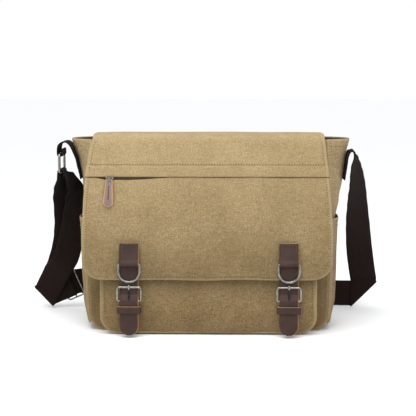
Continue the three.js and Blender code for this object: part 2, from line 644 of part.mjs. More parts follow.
function rightRun() {
  return webbingStations([
    [RIGHT_ARC.x + ARC_GAP, 0, 247.5, 0], [199.8, 0, 247.4, 0], [201.6, 0.3, 245.8, 3], [202.8, 1, 242, 8], [203.6, 2, 231, 22],
    [205.6, 8, 218, 29], [208, 15, 205, 34], [209.8, 25, 189.5, 41], [211.6, 35, 174, 48],
    [214, 48, 151, 59], [217, 60, 128, 68], [220.3, 73, 105, 77], [224.3, 85, 82, 87],
    [228.5, 95, 61, 90], [232.5, RIGHT_FOLD.y - RIGHT_FOLD.radius, 44, 90],
  ]);
}

function rightFold() {
  const half = WEBBING_WIDTH / 2;
  const centre = new THREE.Vector3(RIGHT_FOLD.inner + half, RIGHT_FOLD.y, RIGHT_FOLD.floor + half);
  const crease = new THREE.Vector3(WEBBING_WIDTH, 0, WEBBING_WIDTH);
  const outward = new THREE.Vector3(1, 0, -1).normalize();
  return foldStations(centre, crease, outward, FRONTWARD, -1, RIGHT_FOLD.radius);
}

function backRun() {
  const half = WEBBING_WIDTH / 2;
  return uprightStations([
    [213, 108.4, 3.2 + half], [190, 109, 3.3 + half], [150, 111, 4.4 + half], [100, 113, 8 + half],
    [50, 114, 11 + half], [0, 114, 13 + half], [-50, 113, 15 + half], [-100, 111, 18 + half],
    [-150, 108, 20 + half], [-178, 106, 20.4 + half], [-193, 105.2, 40.4],
  ], FRONTWARD);
}

const intoFold = new THREE.Vector3(-Math.cos(RUN_IN_SLOPE), 0, -Math.sin(RUN_IN_SLOPE));
const creaseUp = new THREE.Vector3(-Math.cos(LEFT_FOLD.lean), 0, Math.sin(LEFT_FOLD.lean));
const creaseOut = new THREE.Vector3(-Math.sin(LEFT_FOLD.lean), 0, -Math.cos(LEFT_FOLD.lean));
const outOfFold = intoFold.clone().addScaledVector(creaseOut, -2 * intoFold.dot(creaseOut));
const creaseLength = WEBBING_WIDTH / Math.abs(intoFold.dot(creaseOut));

// A straight lead beside the left fold: [distance from the fold, offset in Y] pairs.
function leftLead(pairs, normal) {
  const centre = LEFT_FOLD.centre;
  return uprightStations(pairs.map(([distance, offset]) => [
    centre.x - intoFold.x * distance, centre.y + offset, centre.z - intoFold.z * distance]), normal);
}

function leftFold(start, facing, radius) {
  const crease = creaseUp.clone().multiplyScalar(creaseLength);
  return foldStations(LEFT_FOLD.centre, crease, creaseOut, start, facing, radius);
}

// From the left fold up to the ring's lower bar, round it, and back down to the fold.
const RING_LOW = RING_TOP - RING_HEIGHT;
function ringPasses() {
  const leaving = (pairs) => pairs.map(([distance, y]) => [
    LEFT_FOLD.centre.x + outOfFold.x * distance, LEFT_FOLD.centre.y + y,
    LEFT_FOLD.centre.z + outOfFold.z * distance]);
  const up = leaving([[8, -OUTER_RADIUS], [12, -5.2], [16, -6.9], [24, -9.8], [34, -13], [46, -18]]);
  const down = leaving([[46, -13], [34, -9], [24, -6.6], [16, -4.2], [12, -2.6], [8, -INNER_RADIUS]]);
  const bagSide = [[-216.5, 74, 78, -98], [-208, 65, 101, -107], [-201.5, 52, 126, -120],
    [-195.5, 34, 156, -136], [-192, 15, 186, -149], [-195.5, 4, 204, -165],
    [RING_X + barWrap + 2, 0, RING_LOW - 5, -180], [RING_X + barWrap, 0, RING_LOW, -180]];
  const outerSide = [[-222, 79, 78, -98], [-215, 70, 101, -107], [-210.3, 56, 126, -120],
    [-208.2, 36, 156, -136], [-209.3, 16, 186, -149], [-210.8, 4, 204, -165],
    [RING_X - barWrap - 0.4, 0, RING_LOW - 5, -180], [RING_X - barWrap, 0, RING_LOW, -180]];
  const overBar = [];
  for (let i = 1; i < 6; i++) {
    const angle = (i / 6) * Math.PI;
    overBar.push([RING_X + barWrap * Math.cos(angle), 0, RING_LOW + barWrap * Math.sin(angle), -180]);
  }
  return [
    ...uprightStations(up, BACKWARD),
    ...webbingStations([...bagSide, ...overBar, ...outerSide.reverse()]),
    ...uprightStations(down, FRONTWARD),
  ];
}

function shoulderWebbing() {
  const arriving = [[48, 3.8], [40, 3.8], [30, 3.8], [20, 3.8], [10, OUTER_RADIUS]];
  const ending = [[8, INNER_RADIUS], [18, 1.3], [22, 0.7], [25, -0.35], [27.6, -1.4], [36, -1.4], [44, -1.4]];
  return [
    ...rightRun(),
    ...rightFold(),
    ...backRun(),
    ...leftLead(arriving, FRONTWARD),
    ...leftFold(BACKWARD, -1, OUTER_RADIUS),
    ...ringPasses(),
    ...leftFold(FRONTWARD, 1, INNER_RADIUS),
    ...leftLead(ending, BACKWARD),
  ];
}

place(bag, 'shoulder_webbing', ribbon(shoulderWebbing(), WEBBING_THICKNESS), webbing());

// Slide buckle: a plate with two slots, lying on the webbing with its centre bar at the webbing's end.
const SLIDE_DISTANCE = 42;
const slot = (y) => roundedRectangle(41, 8.5, 2, 2).map((p) => new THREE.Vector2(p.x, p.y + y));
const slideBuckle = extruded(roundedRectangle(48, 28, 4), 2.2, [slot(6.4), slot(-6.4)]);
slideBuckle.rotateX(Math.PI / 2);
slideBuckle.rotateY(-Math.PI / 2 - RUN_IN_SLOPE);
place(bag, 'strap_slide_buckle', slideBuckle, gunmetal(), [
  LEFT_FOLD.centre.x - intoFold.x * SLIDE_DISTANCE,
  LEFT_FOLD.centre.y + 1.2,
  LEFT_FOLD.centre.z - intoFold.z * SLIDE_DISTANCE,
]);

export default bag;
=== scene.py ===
"""A canvas messenger bag: the visual model, in metres, in the CAD model's own frame."""
import math

import bpy
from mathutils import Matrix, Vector, noise


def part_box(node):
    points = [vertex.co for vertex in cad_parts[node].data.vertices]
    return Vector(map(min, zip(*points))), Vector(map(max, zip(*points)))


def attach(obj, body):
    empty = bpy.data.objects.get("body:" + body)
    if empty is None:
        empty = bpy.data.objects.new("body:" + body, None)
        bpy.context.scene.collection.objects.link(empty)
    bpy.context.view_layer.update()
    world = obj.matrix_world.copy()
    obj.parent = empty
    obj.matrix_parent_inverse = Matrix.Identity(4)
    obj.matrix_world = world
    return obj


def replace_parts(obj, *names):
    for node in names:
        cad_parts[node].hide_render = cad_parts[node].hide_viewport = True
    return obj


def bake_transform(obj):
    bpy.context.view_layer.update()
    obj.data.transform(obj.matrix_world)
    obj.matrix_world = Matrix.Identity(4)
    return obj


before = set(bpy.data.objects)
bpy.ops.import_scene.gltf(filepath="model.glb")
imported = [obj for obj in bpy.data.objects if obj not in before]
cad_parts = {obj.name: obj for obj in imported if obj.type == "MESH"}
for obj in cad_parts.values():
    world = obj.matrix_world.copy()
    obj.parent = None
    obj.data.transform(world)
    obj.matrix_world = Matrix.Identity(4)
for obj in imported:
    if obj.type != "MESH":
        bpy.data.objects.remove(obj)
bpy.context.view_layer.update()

MM = 0.001


# ---------------------------------------------------------------- driving sizes, in millimetres
def box_mm(node):
    low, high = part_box(node)
    return low / MM, high / MM


def middle(node):
    low, high = box_mm(node)
    return (low + high) / 2


BODY_TOP = box_mm("back_panel")[1].z
CORNER_RADIUS = 24
CANVAS = 2.4
THIN = 1.6
RIDGE_Y = -42.5
RIDGE_Z = 270
TILT = math.radians(7.8)
FLAP_LENGTH = 194.8
FLAP_CORNER = 26
POCKET_HALF = box_mm("front_pocket_panel")[1].x
POCKET_TOP = box_mm("front_pocket_panel")[1].z
POCKET_SETBACK = 8
POCKET_CORNER = 22
POCKET_FLOOR = 3.2
ZIP_DEPTH = 57
WEBBING_WIDTH = 38
CLOSURES = {"left": middle("left_closure_strap").x, "right": middle("right_closure_strap").x}


def mix(a, b, t):
    return a + (b - a) * t


def clamp(t, low=0.0, high=1.0):
    return max(low, min(high, t))


def smooth(low, high, value):
    t = clamp((value - low) / (high - low))
    return t * t * (3 - 2 * t)


def profile(pairs, at):
    """Smooth interpolation through (position, value) pairs."""
    if at <= pairs[0][0]:
        return pairs[0][1]
    for (a, x), (b, y) in zip(pairs, pairs[1:]):
        if at <= b:
            return mix(x, y, smooth(a, b, at)) * 0.35 + mix(x, y, (at - a) / (b - a)) * 0.65
    return pairs[-1][1]


def crumple(x, y, size, seed):
    """Soft wrinkles about `size` millimetres long, from -1 to 1."""
    return noise.noise(Vector((x / size, y / size, seed * 7.31))) * 1.6


# ---------------------------------------------------------------- materials
def new_material(name, roughness, metallic=0.0):
    material = bpy.data.materials.new(name)
    material.use_nodes = True
    tree = material.node_tree
    shader = tree.nodes["Principled BSDF"]
    shader.inputs["Roughness"].default_value = roughness
    shader.inputs["Metallic"].default_value = metallic
    return material, tree, shader


def noise_node(tree, scale, detail, coordinates, roughness=0.6):
    node = tree.nodes.new("ShaderNodeTexNoise")
    node.inputs["Scale"].default_value = scale
    node.inputs["Detail"].default_value = detail
    node.inputs["Roughness"].default_value = roughness
    tree.links.new(coordinates, node.inputs["Vector"])
    return node.outputs["Fac"]


def ramp_node(tree, value, low, high, dark, light):
    node = tree.nodes.new("ShaderNodeValToRGB")
    node.color_ramp.elements[0].position = low
    node.color_ramp.elements[0].color = (*dark, 1)
    node.color_ramp.elements[1].position = high
    node.color_ramp.elements[1].color = (*light, 1)
    tree.links.new(value, node.inputs["Fac"])
    return node.outputs["Color"]


def mix_node(tree, factor, a, b, blend="MIX"):
    node = tree.nodes.new("ShaderNodeMix")
    node.data_type = "RGBA"
    node.blend_type = blend
    if isinstance(factor, (int, float)):
        node.inputs["Factor"].default_value = factor
    else:
        tree.links.new(factor, node.inputs["Factor"])
    for socket, value in ((node.inputs["A"], a), (node.inputs["B"], b)):
        if isinstance(value, tuple):
            socket.default_value = (*value, 1)
        else:
            tree.links.new(value, socket)
    return node.outputs["Result"]


def math_node(tree, operation, a, b):
    node = tree.nodes.new("ShaderNodeMath")
    node.operation = operation
    for socket, value in zip(node.inputs, (a, b)):
        if isinstance(value, (int, float)):
            socket.default_value = value
        else:
            tree.links.new(value, socket)
    return node.outputs["Value"]


def object_coordinates(tree):
    return tree.nodes.new("ShaderNodeTexCoord").outputs["Object"]


def stretched(tree, coordinates, scale):
    node = tree.nodes.new("ShaderNodeMapping")
    node.inputs["Scale"].default_value = scale
    tree.links.new(coordinates, node.inputs["Vector"])
    return node.outputs["Vector"]


def attribute(tree, name):
    node = tree.nodes.new("ShaderNodeAttribute")
    node.attribute_name = name
    return node.outputs["Fac"]


def bump(tree, shader, height, strength, distance):
    node = tree.nodes.new("ShaderNodeBump")
    node.inputs["Strength"].default_value = strength
    node.inputs["Distance"].default_value = distance
    tree.links.new(height, node.inputs["Height"])
    tree.links.new(node.outputs["Normal"], shader.inputs["Normal"])


def weave(tree, coordinates, pitch):
    """Plain weave: two crossed sets of threads, `pitch` metres apart."""
    heights = []
    for direction in ("X", "Z"):
        wave = tree.nodes.new("ShaderNodeTexWave")
        wave.bands_direction = direction
        wave.inputs["Scale"].default_value = 0.314 / pitch
        wave.inputs["Distortion"].default_value = 1.2
        wave.inputs["Detail"].default_value = 2
        wave.inputs["Detail Scale"].default_value = 1.5
        tree.links.new(coordinates, wave.inputs["Vector"])
        heights.append(wave.outputs["Fac"])
    return math_node(tree, "MULTIPLY", heights[0], heights[1])


def canvas_material(name, dark, light):
    """Washed canvas: cloudy fading, a speckled weave, painted light that is lighter and cooler at the top and
    darker at the bottom, pale rubbed edges and painted highlights where `wear` is high, and painted shade where
    `grime` is high.
    """
    material, tree, shader = new_material(name, 0.95)
    at = object_coordinates(tree)
    clouds = ramp_node(tree, noise_node(tree, 14, 5, at), 0.30, 0.70, dark, light)
    # Painted light: by height the cloth turns lighter and cooler towards the top and darker towards the bottom,
    # as if lit from above.
    height = tree.nodes.new("ShaderNodeSeparateXYZ")
    tree.links.new(at, height.inputs["Vector"])
    painted_top_light = ramp_node(tree, height.outputs["Z"], 0.03, 0.29, (0.74, 0.70, 0.62), (1.38, 1.41, 1.47))
    clouds = mix_node(tree, 1.0, clouds, painted_top_light, "MULTIPLY")
    grains = noise_node(tree, 620, 3, at, 0.7)
    speckle = ramp_node(tree, grains, 0.34, 0.66, (0.70, 0.68, 0.65), (1.27, 1.27, 1.29))
    cloth = mix_node(tree, 1.0, clouds, speckle, "MULTIPLY")
    for stretch in ((110, 110, 1000), (900, 900, 120)):
        slubs = noise_node(tree, 1, 3, stretched(tree, at, stretch))
        tone = ramp_node(tree, slubs, 0.35, 0.65, (0.84, 0.83, 0.81), (1.13, 1.13, 1.14))
        cloth = mix_node(tree, 1.0, cloth, tone, "MULTIPLY")
    # Pale where wear is high: rubbed edges, and painted light on the flap's upper parts and the bellows' front
    # edge.
    pale = tuple(min(1, c * 1.45) for c in light)
    worn_and_highlighted = mix_node(tree, attribute(tree, "wear"), cloth, pale)
    # Painted shade: where the grime attribute is high the cloth is darkened towards a dark brown.
    painted_shade_colour = tuple(c * 0.42 for c in dark)
    shaded = mix_node(tree, attribute(tree, "grime"), worn_and_highlighted, painted_shade_colour)
    tree.links.new(shaded, shader.inputs["Base Color"])
    fine = noise_node(tree, 900, 2, at)
    bump(tree, shader, math_node(tree, "ADD", weave(tree, at, 0.0011), fine), 0.55, 0.00035)
    shader.inputs["Specular IOR Level"].default_value = 0.15
    shader.inputs["Sheen Weight"].default_value = 0.06
    shader.inputs["Sheen Roughness"].default_value = 0.6
    return material


def leather_material(name, dark, light):
    material, tree, shader = new_material(name, 0.5)
    shader.inputs["Specular IOR Level"].default_value = 0.28
    at = object_coordinates(tree)
    colour = ramp_node(tree, noise_node(tree, 60, 5, at), 0.3, 0.7, dark, light)
    # Pale where wear is high: rubbed edges, and a painted highlight across the closure patch's fold.
    pale = tuple(min(1, c * 2.6) for c in light)
    worn_and_highlighted = mix_node(tree, attribute(tree, "wear"), colour, pale)
    tree.links.new(worn_and_highlighted, shader.inputs["Base Color"])
    grain = noise_node(tree, 1100, 3, at)
    bump(tree, shader, grain, 0.35, 0.0003)
    rough = tree.nodes.new("ShaderNodeMapRange")
    rough.inputs["To Min"].default_value = 0.42
    rough.inputs["To Max"].default_value = 0.62
    tree.links.new(noise_node(tree, 90, 3, at), rough.inputs["Value"])
    tree.links.new(rough.outputs["Result"], shader.inputs["Roughness"])
    return material


def webbing_material(name, dark, light):
    """Cotton webbing: ribs along its length and a fine herringbone across, laid out by its UV map."""
    material, tree, shader = new_material(name, 0.9)
    uv = tree.nodes.new("ShaderNodeUVMap").outputs["UV"]
    at = object_coordinates(tree)
    ribs = tree.nodes.new("ShaderNodeTexWave")
    ribs.bands_direction = "X"
    ribs.inputs["Scale"].default_value = 0.314 / 0.0024
    tree.links.new(uv, ribs.inputs["Vector"])
    rows = tree.nodes.new("ShaderNodeTexWave")
    rows.bands_direction = "DIAGONAL"
    rows.inputs["Scale"].default_value = 0.314 / 0.0011
    rows.inputs["Distortion"].default_value = 1.5
    tree.links.new(uv, rows.inputs["Vector"])
    height = math_node(tree, "ADD", ribs.outputs["Fac"], rows.outputs["Fac"])
    speckle = noise_node(tree, 700, 3, at)
    colour = ramp_node(tree, math_node(tree, "MULTIPLY", height, speckle), 0.15, 0.85, dark, light)
    tree.links.new(colour, shader.inputs["Base Color"])
    bump(tree, shader, height, 0.6, 0.0005)
    shader.inputs["Specular IOR Level"].default_value = 0.08
    shader.inputs["Sheen Weight"].default_value = 0.02
    return material


def metal_material(name, colour, roughness):
    material, tree, shader = new_material(name, roughness, 1.0)
    at = object_coordinates(tree)
    dark = tuple(c * 0.55 for c in colour)
    tint = ramp_node(tree, noise_node(tree, 220, 4, at), 0.35, 0.65, dark, colour)
    tree.links.new(tint, shader.inputs["Base Color"])
    bump(tree, shader, noise_node(tree, 500, 3, at), 0.12, 0.0002)
    return material


def plain_cloth(name, dark, light, scale=500):
    material, tree, shader = new_material(name, 0.9)
    at = object_coordinates(tree)
    colour = ramp_node(tree, noise_node(tree, scale, 3, at), 0.3, 0.7, dark, light)
    tree.links.new(colour, shader.inputs["Base Color"])
    bump(tree, shader, weave(tree, at, 0.0008), 0.4, 0.0003)
    return material


CLOTH = canvas_material("canvas", (0.196, 0.141, 0.067), (0.272, 0.203, 0.106))
LINING = plain_cloth("lining", (0.030, 0.024, 0.018), (0.055, 0.045, 0.034))
LEATHER = leather_material("leather", (0.025, 0.0100, 0.0070), (0.044, 0.0195, 0.0140))
PULL_LEATHER = leather_material("pull leather", (0.150, 0.098, 0.082), (0.235, 0.165, 0.142))
# A darker copy of the metal, used for the prong: painted shade where the prong lies in the strap's slit.
PRONG_SHADE_METAL = metal_material("blackened metal", (0.035, 0.032, 0.030), 0.42)
RAW_EDGE = leather_material("raw leather edge", (0.20, 0.095, 0.040), (0.32, 0.17, 0.075))
WEBBING = webbing_material("webbing", (0.0045, 0.0022, 0.0018), (0.020, 0.0115, 0.0090))
METAL = metal_material("gunmetal", (0.30, 0.29, 0.26), 0.22)
ZIP_METAL = metal_material("zip metal", (0.10, 0.08, 0.055), 0.35)
TAPE = plain_cloth("zip tape", (0.020, 0.015, 0.010), (0.040, 0.030, 0.021))
THREAD = plain_cloth("canvas thread", (0.30, 0.22, 0.115), (0.44, 0.335, 0.185))
SHADED_THREAD = plain_cloth("shaded canvas thread", (0.17, 0.12, 0.062), (0.26, 0.19, 0.10))
# Dark dashes between stitches: the needle holes, with painted shade in the thread's groove.
NEEDLE_HOLE_SHADE = plain_cloth("needle hole shade", (0.040, 0.026, 0.013), (0.075, 0.050, 0.025))
LEATHER_THREAD = plain_cloth("leather thread", (0.075, 0.035, 0.022), (0.12, 0.06, 0.036))
RED_THREAD = plain_cloth("pull thread", (0.07, 0.018, 0.014), (0.12, 0.03, 0.022))


# ---------------------------------------------------------------- mesh helpers
def add_object(name, points, faces, materials, slots=None, uv=None, attributes=None):
    name = name.replace(" ", "-")
    mesh = bpy.data.meshes.new(name)
    mesh.from_pydata([p * MM for p in points], [], faces)
    for material in materials:
        mesh.materials.append(material)
    if slots:
        mesh.polygons.foreach_set("material_index", slots)
    mesh.polygons.foreach_set("use_smooth", [True] * len(faces))
    for key, values in (attributes or {}).items():
        layer = mesh.attributes.new(key, "FLOAT", "POINT")
        layer.data.foreach_set("value", values)
    if uv:
        layer = mesh.uv_layers.new(name="UVMap")
        for loop in mesh.loops:
            layer.data[loop.index].uv = uv[loop.vertex_index]
    mesh.update()
    obj = bpy.data.objects.new(name, mesh)
    bpy.context.collection.objects.link(obj)
    return obj


def cloth(name, columns, rows, surface, thickness, materials, wear=None, grime=None, edge=0.45, raw=None):
    """A thick sheet laid on surface(u, v), with rounded edges.  materials is (outer, inner, edge);
    the outer face looks along the cross product of the u and v directions.  raw(u, v) says where the edge
    is left raw; without it all of the edge is."""
    grid = [[surface(i / columns, j / rows) for j in range(rows + 1)] for i in range(columns + 1)]
    points, faces, slots, wears, grimes, uvs = [], [], [], [], [], []

    def normal_at(i, j):
        du = grid[min(columns, i + 1)][j] - grid[max(0, i - 1)][j]
        dv = grid[i][min(rows, j + 1)] - grid[i][max(0, j - 1)]
        return du.cross(dv).normalized()

    def put(point, i, j):
        u, v = i / columns, j / rows
        points.append(point)
        wears.append(wear(u, v) if wear else 0.0)
        grimes.append(grime(u, v) if grime else 0.0)
        uvs.append((u, v))
        return len(points) - 1

    normals = [[normal_at(i, j) for j in range(rows + 1)] for i in range(columns + 1)]
    half = thickness / 2

    def skin(reach):
        return [[put(grid[i][j] + normals[i][j] * reach, i, j) for j in range(rows + 1)]
                for i in range(columns + 1)]

    top = skin(half)
    low = skin(-half)
    for i in range(columns):
        for j in range(rows):
            faces.append((top[i][j], top[i + 1][j], top[i + 1][j + 1], top[i][j + 1]))
            slots.append(0)
            faces.append((low[i][j], low[i][j + 1], low[i + 1][j + 1], low[i + 1][j]))
            slots.append(1)
    border = [(i, 0) for i in range(columns)]
    border += [(columns, j) for j in range(rows)]
    border += [(i, rows) for i in range(columns, 0, -1)]
    border += [(0, j) for j in range(rows, 0, -1)]
    rim = []
    for i, j in border:
        inner_i = clamp(i, 1, columns - 1)
        inner_j = clamp(j, 1, rows - 1)
        outward = grid[i][j] - grid[inner_i][inner_j]
        outward = outward.normalized() if outward.length > 1e-6 else Vector((0, 0, 0))
        rim.append(put(grid[i][j] + outward * thickness * edge, i, j))
    count = len(border)
    edge_slot = len(materials) - 1
    for k in range(count):
        a, b = border[k], border[(k + 1) % count]
        m, n = rim[k], rim[(k + 1) % count]
        faces.append((top[a[0]][a[1]], m, n, top[b[0]][b[1]]))
        faces.append((m, low[a[0]][a[1]], low[b[0]][b[1]], n))
        slot = edge_slot if raw is None or raw(a[0] / columns, a[1] / rows) else 0
        slots += [slot, slot]
    return add_object(name, points, faces, materials, slots, uvs, {"wear": wears, "grime": grimes})


def round_faces(sides, count, closed=False):
    """Faces between `count` rings of `sides` points each, with the ends closed unless the rings go round."""
    faces = []
    for k in range(count if closed else count - 1):
        for s in range(sides):
            a, b = k * sides + s, k * sides + (s + 1) % sides
            c, d = ((k + 1) % count) * sides + (s + 1) % sides, ((k + 1) % count) * sides + s
            faces.append((a, b, c, d))
    if not closed:
        faces.append(tuple(range(sides))[::-1])
        faces.append(tuple((count - 1) * sides + s for s in range(sides)))
    return faces


def tube(name, path, radius, material, sides=10, closed=False, squash=1.0):
    """A round cord through the points of a path."""
    points = []
    count = len(path)
    last = None
    for k, centre in enumerate(path):
        if closed:
            along = path[(k + 1) % count] - path[k - 1]
        else:
            along = path[min(count - 1, k + 1)] - path[max(0, k - 1)]
        along.normalize()
        guide = last if last is not None else (Vector((0, 0, 1)) if abs(along.z) < 0.9 else Vector((1, 0, 0)))
        side = (guide - along * guide.dot(along)).normalized()
        other = along.cross(side)
        last = side
        for s in range(sides):
            angle = 2 * math.pi * s / sides
            reach = side * math.cos(angle) * radius
            points.append(centre + reach + other * math.sin(angle) * radius * squash)
    zeros = [0.0] * len(points)
    return add_object(name, points, round_faces(sides, count, closed), [material],
                      attributes={"wear": zeros, "grime": list(zeros)})


def join_objects(name, objects):
    bpy.ops.object.select_all(action="DESELECT")
    for obj in objects:
        obj.select_set(True)
    bpy.context.view_layer.objects.active = objects[0]
    bpy.ops.object.join()
    objects[0].name = name.replace(" ", "-")
    return objects[0]


THREAD_SHAPE = ((0, 0.35, -0.25), (0.18, 1.0, 0.25), (0.5, 1.15, 0.42), (0.82, 1.0, 0.25), (1, 0.35, -0.25))
HOLE_SHADE_SHAPE = ((0, 0.5, -0.2), (0.5, 1.15, -0.1), (1, 0.5, -0.2))


def stitches(name, path, normals, material, length=2.4, gap=1.2, width=0.45, lift=0.1):
    """A row of sewn stitches along a path: short plump dashes lying on the cloth, with a dark dash over each
    gap for the needle's hole and its painted shade.
    """
    points, faces, slots = [], [], []
    lengths = [0.0]
    for a, b in zip(path, path[1:]):
        lengths.append(lengths[-1] + (b - a).length)

    def at(distance):
        for k in range(1, len(path)):
            if distance <= lengths[k] or k == len(path) - 1:
                t = (distance - lengths[k - 1]) / max(1e-9, lengths[k] - lengths[k - 1])
                return path[k - 1].lerp(path[k], t), normals[k - 1].lerp(normals[k], t).normalized()

    def dash(first_at, last_at, rings, slot):
        start, up = at(first_at)
        end, _ = at(last_at)
        along = (end - start).normalized()
        side = along.cross(up).normalized()
        first = len(points)
        for t, size, height in rings:
            centre = start.lerp(end, t) + up * (lift + height * width)
            for s in range(6):
                angle = math.pi * 2 * s / 6
                points.append(centre + (side * math.cos(angle) + up * math.sin(angle) * 0.7) * width * size)
        last = first + 6 * (len(rings) - 1)
        for ring in range(first, last, 6):
            for s in range(6):
                a, b = ring + s, ring + (s + 1) % 6
                faces.append((a, b, b + 6, a + 6))
        faces.append(tuple(first + s for s in range(6))[::-1])
        faces.append(tuple(last + s for s in range(6)))
        slots.extend([slot] * (6 * (len(rings) - 1) + 2))

    distance = gap
    while distance + length < lengths[-1]:
        dash(distance, distance + length, THREAD_SHAPE, 0)
        # A dark dash over each gap: the needle's hole, with painted shade.
        dash(distance - gap, distance, HOLE_SHADE_SHAPE, 1)
        distance += length + gap
    return add_object(name, points, faces, [material, NEEDLE_HOLE_SHADE], slots)


def seam(name, surface, uv_path, body, material=THREAD, off=1.0, **sizes):
    """Stitches along a path of (u, v) points on a surface, `off` millimetres out from its middle."""
    path, normals = [], []
    step = 0.004
    for u, v in uv_path:
        du = surface(min(1, u + step), v) - surface(max(0, u - step), v)
        dv = surface(u, min(1, v + step)) - surface(u, max(0, v - step))
        normal = du.cross(dv).normalized()
        path.append(surface(u, v) + normal * off)
        normals.append(normal)
    obj = stitches(name, path, normals, material, **sizes)
    return ride(obj, body)


def line(a, b, count=60):
    return [(mix(a[0], b[0], k / count), mix(a[1], b[1], k / count)) for k in range(count + 1)]


def ride(obj, body):
    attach(obj, body)
    return obj


# ---------------------------------------------------------------- body
FRONT = [(0, 36), (120, 36), (200, 34), (264, 30)]
BACK = [(0, 46), (140, 47.5), (264, 43)]
HALF_WIDTH = [(0, 164), (40, 166), (110, 167), (200, 165), (264, 160)]
RIGHT_RIDGE = [(0, 164), (30, 168), (120, 171), (140, 172), (160, 176), (178, 181), (209, 185), (236, 188.5),
               (250, 192), (264, 195.5)]
LEFT_RIDGE = [(0, 164), (30, 168), (120, 171), (150, 172), (180, 173), (209, 175), (236, 181), (252, 187),
              (264, 191)]


def corner_outline(v, width, floor, radius, top, share=0.2):
    """Right-hand outline of a panel: (x, z, outward) round its bottom corner, then up to its top."""
    if v < share:
        angle = v / share * math.pi / 2
        outward = Vector((math.sin(angle), 0, -math.cos(angle)))
        at = width(radius)
        return at - radius * (1 - math.sin(angle)), floor + radius * (1 - math.cos(angle)), outward
    z = mix(floor + radius, top, (v - share) / (1 - share))
    return width(z), z, Vector((1, 0, 0))


def body_outline(v):
    return corner_outline(v, lambda z: profile(HALF_WIDTH, z), 1.6, CORNER_RADIUS, BODY_TOP)


def front_surface(u, v):
    x, z, _ = body_outline(v)
    across = 2 * u - 1
    puff = 2.0 * (1 - across ** 2) * math.sin(math.pi * clamp(z / BODY_TOP))
    return Vector((across * x, -profile(FRONT, z) - puff * 0.3, z))


def back_surface(u, v):
    x, z, _ = body_outline(v)
    across = 2 * u - 1
    fade = 1 - abs(across) ** 6
    puff = 3.2 * (1 - across ** 4) * math.sin(math.pi * clamp(z / BODY_TOP)) ** 0.8
    fold = 1.3 * crumple(x * across, z, 70, 3) * fade * smooth(0, 50, z) * (1 - smooth(225, 250, z))
    return Vector((-across * x, profile(BACK, z) + puff * smooth(0, 40, z) * 0.6 + fold * 0.8, z))


def gusset_surface(side):
    ridge = RIGHT_RIDGE if side > 0 else LEFT_RIDGE

    def surface(u, v):
        x, z, outward = body_outline(v)
        across = u if side > 0 else 1 - u
        y = mix(0.6 - profile(FRONT, z), profile(BACK, z) - 0.6, across)
        out = max(0, profile(ridge, z) - x)
        bulge = (1 - abs(2 * u - 1) ** 2.4) * out * min(1, v / 0.2)
        ripple = crumple(y + 40 * side, z, 34, 5 + side) * 1.5 * math.sin(math.pi * u) * smooth(0, 40, z)
        crease = -2.2 * math.exp(-((u - 0.5) / 0.05) ** 2) * (1 - smooth(120, 190, z)) * smooth(10, 50, z)
        point = Vector((x, y, z)) + outward * (bulge + ripple * 0.8 + crease)
        return Vector((side * point.x, point.y, point.z))

    return surface


def edge_wear(width_u, width_v, amount=0.5, sides="lrtb"):
    def wear(u, v):
        value = 0.0
        if "l" in sides:
            value = max(value, 1 - u / width_u)
        if "r" in sides:
            value = max(value, 1 - (1 - u) / width_u)
        if "b" in sides:
            value = max(value, 1 - v / width_v)
        if "t" in sides:
            value = max(value, 1 - (1 - v) / width_v)
        return clamp(value) * amount
    return wear


BODY_MATERIALS = (CLOTH, LINING, CLOTH)


def front_grime(u, v):
    """Painted shade on the front panel, which lies all under the pocket and the flap, so it is the same all
    over.
    """
    return 0.18


def build_body():
    front = cloth("bag front", 90, 110, front_surface, CANVAS, BODY_MATERIALS,
                  wear=edge_wear(0.012, 0.01, 0.4), grime=front_grime)
    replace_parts(ride(front, "bag_body"), "front_panel")
    back = cloth("bag back", 110, 110, back_surface, CANVAS, BODY_MATERIALS, wear=edge_wear(0.012, 0.01, 0.35))
    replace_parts(ride(back, "bag_body"), "back_panel")
    for side, name in ((1, "right"), (-1, "left")):
        surface = gusset_surface(side)
        sheet = cloth(f"{name} gusset", 60, 130, surface, CANVAS, BODY_MATERIALS,
                      wear=edge_wear(0.05, 0.012, 0.35, "lrt"))
        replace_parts(ride(sheet, "bag_body"), f"{name}_gusset")
        seam(f"{name} gusset rim stitches", surface, line((0.02, 0.972), (0.98, 0.972)), "bag_body", off=1.25)
    base()
    body_seams()


def base():
    low, high = box_mm("base_panel")

    def surface(u, v):
        x = mix(low.x - 1, high.x + 1, u)
        y = mix(high.y + 0.8, low.y - 0.8, v)
        lift = 0.5 * crumple(x, y, 40, 9) ** 2
        return Vector((x, y, 1.6 + lift))

    sheet = cloth("bag base", 60, 24, surface, CANVAS, BODY_MATERIALS)
    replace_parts(ride(sheet, "bag_body"), "base_panel")


def both_sides(right):
    """A panel's whole edge, from its top left round the bottom to its top right."""
    left = [Vector((-p.x, p.y, p.z)) for p in right]
    bottom = [Vector((mix(left[0].x, right[0].x, k / 40), right[0].y, right[0].z)) for k in range(1, 40)]
    return left[::-1] + bottom + right


def body_seams():
    """Rolled seams where the front and back panels meet the gussets and the base."""
    for name, depth, sign in (("front", FRONT, -1), ("back", BACK, 1)):
        right = []
        for k in range(121):
            x, z, outward = body_outline(k / 120)
            y = sign * (profile(depth, z) + 0.2)
            right.append(Vector((x, y, z)) + outward * 0.7)
        roll = tube(f"{name} seam", both_sides(right), 1.55, CLOTH, 8)
        paint(roll, "wear", lambda p: 0.35)
        ride(roll, "bag_body")


def paint(obj, key, value):
    layer = obj.data.attributes[key]
    for vertex, item in zip(obj.data.vertices, layer.data):
        item.value = value(vertex.co / MM)


# ---------------------------------------------------------------- side pockets
POCKET_RIDGE = [(0, 168), (16, 172), (40, 176.5), (90, 178.5), (156, 180)]


